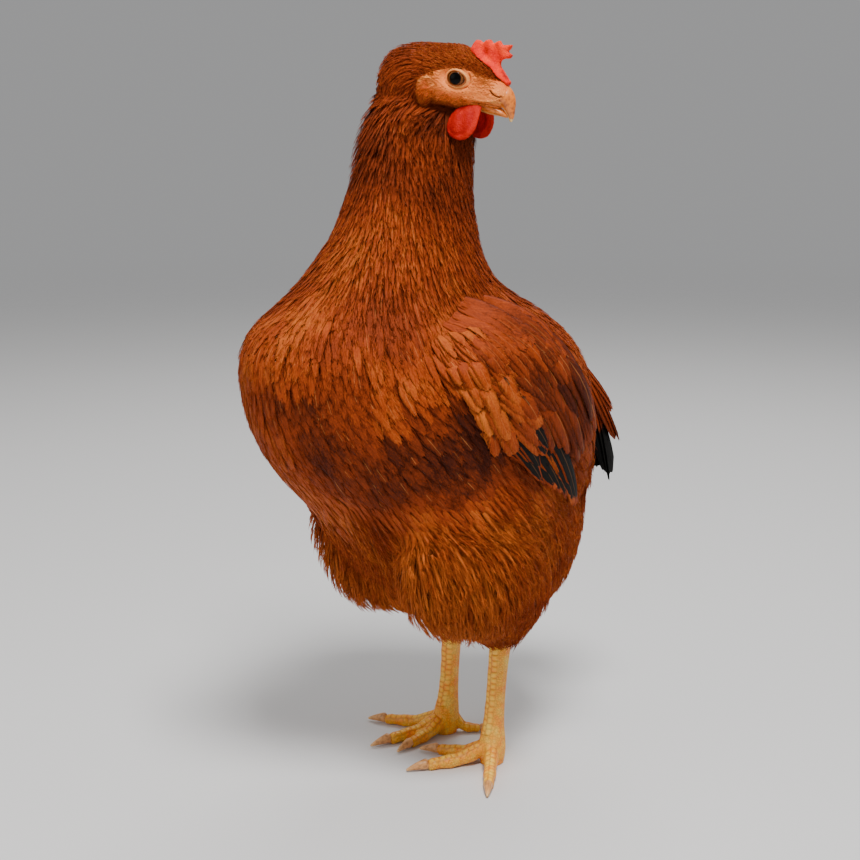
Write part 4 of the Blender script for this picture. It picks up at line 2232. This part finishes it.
# In the head's frame: forward, up, half width, and the radii above and below
BEAK_TOP_ROWS = (
    (13, -0.4, 4.6, 5.8, 6.2),
    (18, -0.6, 5.5, 6.6, 6.6),
    (24, -2.0, 5.2, 5.9, 6.0),
    (27.2, -4.2, 4.2, 4.4, 4.6),
    (29.4, -7.6, 2.9, 2.7, 3.0),
    (30.8, -10.8, 1.7, 1.6, 1.6),
    (31.4, -13.2, 0.6, 0.6, 0.6),
)
BEAK_BASE_ROWS = (
    (9, -9.8, 4.6, 2.6, 3.0),
    (18, -9.8, 4.4, 2.4, 3.1),
    (24, -10.0, 3.4, 1.9, 2.5),
    (28.4, -10.9, 1.8, 1.0, 1.2),
    (29.4, -11.2, 0.6, 0.5, 0.5),
)


@dataclass
class Head:
    """The eyes, lids, beak, comb and wattles."""

    lid_thick_mm: float = 0.34
    # How far the cornea stands out in its middle, and half its width
    cornea_mm: tuple[float, float] = (0.35, 3.6)

    def build(self) -> None:
        """Make every piece of the head."""
        for hand, side in ((1, "left"), (-1, "right")):
            self.eye(hand, side)
            self.lids(hand, side)
            self.wattle(hand, side)
        self.comb()
        self.beak()

    def eye(self, hand: int, side: str) -> None:
        """Make an eyeball with a domed cornea."""
        bpy.ops.object.select_all(action="DESELECT")
        bpy.ops.mesh.primitive_uv_sphere_add(segments=56, ring_count=36, radius=HeadSkin.EYE_MM * MM)
        piece = bpy.context.active_object
        points = Bench.points(piece)[:, [0, 2, 1]] / MM
        radius = np.hypot(points[:, 0], points[:, 2])
        points[:, 1] *= hand
        high, wide = self.cornea_mm
        dome = high * np.clip(1 - (radius / wide) ** 2, 0, 1)
        points[:, 1] += hand * np.where(points[:, 1] * hand > 0, dome, 0)
        x, y, z = HeadSkin.EYE
        Bench.set_points(piece, HEAD.place(points + np.array([x, hand * y, z])))
        Bench.edit(piece, lambda: bpy.ops.mesh.normals_make_consistent(inside=False))
        Bench.named(piece, f"eyeball_{side}")
        Bench.drop_maps(piece)
        Bench.flat_map(piece, "Iris", points[:, [0, 2]] - np.array([0.7, 0.1]))
        Bench.finish(piece, "eye", EyeFinish().material(), replaces=(f"eye_{side}",))

    def lids(self, hand: int, side: str) -> None:
        """Make the dark rim of the lids, a slender ring that rests on the eyeball."""
        middle_x, middle_z, wide, high = HeadSkin.OPENING
        angle = circle(72)
        rings = []
        for turn in np.arange(9) / 8 * 2 * math.pi:
            reach = 1 + (self.lid_thick_mm * math.cos(turn) + 0.1) / ((wide + high) / 2)
            x, z = middle_x + wide * reach * np.cos(angle), middle_z + high * reach * np.sin(angle)
            y = HeadSkin.eyeball(x, z) + self.lid_thick_mm * math.sin(turn) + 0.25
            rings.append(np.stack([x, hand * y, z], axis=1))
        piece = Bench.tube(f"lids_{side}", HEAD.place(np.array(rings)))
        for title, amount in (("Pale", 0.0), ("Flush", 0.2), ("Crease", 0.75)):
            Bench.attribute(piece, title, amount)
        Bench.finish(piece, "face", FaceFinish().material())

    @staticmethod
    def comb() -> None:
        """Make the comb, rounded over and pitted, darker in the creases of its base."""
        piece = Bench.remesh(Bench.copy_nodes("comb_blade", "comb"), 0.42, 4)
        local = HEAD.local(Bench.points(piece))
        x, y, z = local.T
        over = z - np.interp(x, (1, 6, 14, 22, 26), (18, 13.5, 9.5, 7.5, 6))
        base = (1 - smooth(over, -0.5, 4)) * (1 - 0.5 * smooth(x, 19, 26))
        local[:, 1] += np.sign(y) * base * 2.0 * smooth(np.abs(y), 0.2, 1.5)
        local[:, 2] -= 0.8 * base
        local[:, 1] += 0.35 * np.sin(x * 0.8 + z * 0.5) * (1 - base)
        Bench.set_points(piece, HEAD.place(local))
        deep = (1 - smooth(over, -1.5, 1.0)) * (0.7 + 0.3 * np.sin(x * 1.3 + z * 0.7))
        Bench.attribute(piece, "Deep", deep)
        Bench.attribute(piece, "Pale", smooth(z, 17, 24) * 0.5)
        Bench.finish(piece, "comb", CombFinish().material(), replaces=("comb",))

    @staticmethod
    def wattle(hand: int, side: str) -> None:
        """Make a wattle with soft folds and a pale front rim."""
        piece = Bench.remesh(Bench.copy_nodes(f"wattle_flap_{side}", f"wattle_{side}"), 0.45, 5)
        local = HEAD.local(Bench.points(piece))
        x, _, z = local.T
        edge = inside(WATTLE_OUTLINE, x, z)
        fold = 0.35 * smooth(edge, 1.0, 2.2) * (1 - smooth(edge, 2.4, 4.0))
        fold = fold + 0.25 * np.sin(x * 0.9 + z * 0.35)
        local[:, 1] -= hand * fold * smooth(-z, 10, 15)
        Bench.set_points(piece, HEAD.place(local))
        Bench.attribute(piece, "Deep", smooth(z, -14, -9) * 0.5)
        Bench.attribute(piece, "Pale", (1 - smooth(edge, 0.6, 2.2)) * smooth(x, 5, 12))
        skin = CombFinish(f"wattle skin {side}", linear(164, 8, 1), linear(194, 32, 9))
        Bench.finish(piece, "comb", skin.material(), replaces=(f"wattle_{side}",))

    @staticmethod
    def beak() -> None:
        """Make both halves of the beak, ridged on top and paler along the cutting edge."""
        finish = HornFinish("beak horn").material()
        for name, node, rows, ridge in (
            ("beak_top", "beak_upper", BEAK_TOP_ROWS, 0.3),
            ("beak_base", "beak_lower", BEAK_BASE_ROWS, 0.0),
        ):
            rings = head_rings(rows, 48, 56)
            rings[..., 1] *= 1 - ridge * np.maximum(np.sin(circle(56)), 0) ** 2
            piece = Bench.tube(name, HEAD.place(rings))
            x, _, z = HEAD.local(Bench.points(piece)).T
            edge = z - np.interp(x, (12, 19, 24, 27.6, 31), (-8.7, -7.6, -7.6, -9, -13))
            pale = bell(edge, 0, 1.1) if ridge else 0.25 * smooth(z, -11, -8)
            Bench.attribute(piece, "Pale", pale + smooth(-z, 10.5, 13) * 0.6)
            Bench.finish(piece, "beak", finish, replaces=(node,))


# ---- Feet ----


@dataclass
class Feet:
    """The shanks, toes and claws."""

    voxel_mm: float = 0.7
    ankle_mm: float = 19.0
    # How far the toes' plates lie beside the shank's on the flat map
    aside_mm: float = 51.7

    def build(self) -> None:
        """Make both feet."""
        scales = ScaleFinish().material()
        colours = linear(222, 160, 98), linear(160, 98, 52), linear(240, 196, 136)
        claws = HornFinish("claw horn", *colours, roughness=0.35).material()
        for side in ("left", "right"):
            names = [f"claw_{side}_{n}" for n in (1, 2, 3, 4)]
            nodes = [f"shank_{side}", *(f"toe_{side}_{n}" for n in (1, 2, 3, 4))]
            piece = Bench.remesh(Bench.copy_nodes(f"foot_{side}", *nodes), self.voxel_mm, 7, 0.5)
            horny = [self._claw(name) for name in names]
            ends = np.array([Bench.points(claw).mean(axis=0) for claw in horny])
            self._plates(piece, ends)
            Bench.finish(piece, "scales", scales, replaces=nodes)
            Bench.finish(Bench.join(f"claws_{side}", *horny), "claw", claws, replaces=names)

    def _claw(self, name: str) -> Piece:
        """Make one claw, full at its root and blunt."""
        piece = Bench.remesh(Bench.copy_nodes(name, name), 0.35, 4, 0.5)
        points = Bench.points(piece)
        reach = np.linalg.norm(points[:, :2] - points[np.argmax(points[:, 2]), :2], axis=1)
        share = reach / reach.max()
        points = points + Bench.normals(piece) * (0.95 * (1 - share) + 0.4)[:, None] * MM
        points[:, 2] = np.maximum(points[:, 2], 0.12 * MM)
        Bench.set_points(piece, points)
        Bench.attribute(piece, "Pale", 0.5 * smooth(share, 0.45, 1.0))
        return piece

    def _plates(self, piece: Piece, ends: Array) -> None:
        """Lay out the plates of a foot: round the front of the shank and along the top of the toes.

        Args:
            piece: The foot.
            ends: The middles of its claws, the hind one first.
        """
        points = Bench.points(piece)
        up = points[:, 2] / MM
        steps = np.arange(0, up.max() + 2, 2.0)
        shank = up > self.ankle_mm
        weight = bell(up[shank, None], steps, 2.0)
        middles = weight.T @ points[shank, :2] / np.maximum(weight.sum(axis=0)[:, None], 1e-9)
        foot = points[np.abs(up - self.ankle_mm) < 2, :2].mean(axis=0)
        middles[steps < self.ankle_mm] = foot
        axis = np.stack([np.interp(up, steps, middles[:, k]) for k in (0, 1)], axis=1)
        out = (points[:, :2] - axis) / MM
        front = unit(ends[2, :2] - foot)
        ahead = out @ front
        aside = out @ np.array([-front[1], front[0]])
        round_mm = np.abs(np.arctan2(aside, ahead)) * np.hypot(ahead, aside)
        ways = unit(ends[:, :2] - foot)
        flat = (points[:, :2] - foot) / MM
        toe = np.argmax(flat @ ways.T, axis=1)
        along = np.sum(flat * ways[toe], axis=1)
        across = flat[:, 0] * -ways[toe, 1] + flat[:, 1] * ways[toe, 0]
        places = np.stack([round_mm, up], 1), np.stack([across + self.aside_mm, along], 1)
        top = smooth(Bench.normals(piece)[:, 2], 0.1, 0.45) * (1 - smooth(np.abs(across), 3.2, 4.2))
        Bench.attribute(piece, "Plate", np.where(shank, 1 - smooth(round_mm, 6.2, 7.2), top))
        Bench.flat_map(piece, "Scute", np.where(shank[:, None], *places))


# ---- Studio ----


@dataclass(frozen=True)
class Studio:
    """The floor, the lights and the camera."""

    azimuth: float = 52.0
    pitch: float = 12.0
    camera: tuple[float, float, float] = (0.7337, -0.5839, 0.400)
    lens_mm: float = 69.99
    floor: tuple[float, float, float, float] = (0.7, 0.69, 0.68, 1)
    sky: tuple[float, float, float, float] = (0.94, 0.94, 0.95, 1)
    sky_power: float = 0.36

    def build(self) -> None:
        """Set up the stage."""
        self._camera()
        self._floor()
        self._light("key", self.azimuth + 12, 60, 1.6, 0.5, 38)
        self._light("fill", self.azimuth - 62, 22, 1.8, 1.4, 7)
        self._light("rim", self.azimuth + 165, 50, 1.6, 0.8, 9)
        self._world()

    def _camera(self) -> None:
        """Place the camera."""
        data = bpy.data.cameras.new("camera")
        data.lens, data.sensor_width = self.lens_mm, 36.0
        camera = Bench.link("camera", data)
        camera.location = self.camera
        camera.rotation_euler = (math.radians(90 - self.pitch), 0, math.radians(self.azimuth))
        bpy.context.scene.camera = camera

    def _floor(self) -> None:
        """Lay a plain pale floor."""
        bpy.ops.object.select_all(action="DESELECT")
        bpy.ops.mesh.primitive_plane_add(size=90)
        floor = bpy.context.active_object
        floor.name = "floor"
        g = Graph("pale floor")
        x, y = g.split(g.place())
        far = (x * x + y * y).math("SQRT").smooth(0.8, 3.0)
        floor.data.materials.append(g.shade(Base_Color=self.floor, Roughness=0.8, Alpha=1 - far))

    @staticmethod
    def _light(
        name: str, azimuth: float, elevation: float, distance: float, size: float, power: float
    ) -> None:
        """Hang a soft light that points at the hen.

        Args:
            name: The light's name.
            azimuth: Its direction in degrees, 0 in front of the hen.
            elevation: Its height in degrees.
            distance: How far off it is in metres.
            size: The side of its panel in metres.
            power: Its power in watts.
        """
        data = bpy.data.lights.new(name, "AREA")
        data.size, data.energy = size, power
        light = Bench.link(name, data)
        a, e = math.radians(azimuth), math.radians(elevation)
        way = Vector((math.sin(a) * math.cos(e), -math.cos(a) * math.cos(e), math.sin(e)))
        light.location = Vector((0, 0, 0.22)) + way * distance
        light.rotation_euler = way.to_track_quat("Z", "Y").to_euler()

    def _world(self) -> None:
        """Fill the shadows with pale light."""
        world = bpy.data.worlds.new("studio")
        world.use_nodes = True
        background = world.node_tree.nodes["Background"]
        background.inputs[0].default_value = self.sky
        background.inputs[1].default_value = self.sky_power
        bpy.context.scene.world = world


def main() -> None:
    """Build the hen and its studio."""
    logging.basicConfig(level=logging.INFO, format="%(message)s")
    Studio().build()
    hide = Hide().build()
    hide.unwrap()
    ground = Ground(hide.piece)
    LOG.info("hide: %d triangles", len(ground.triangles))
    Coat(ground).build()
    Flight().build(ground)
    hide.dress()
    Head().build()
    Feet().build()


if __name__ == "__main__":
    main()
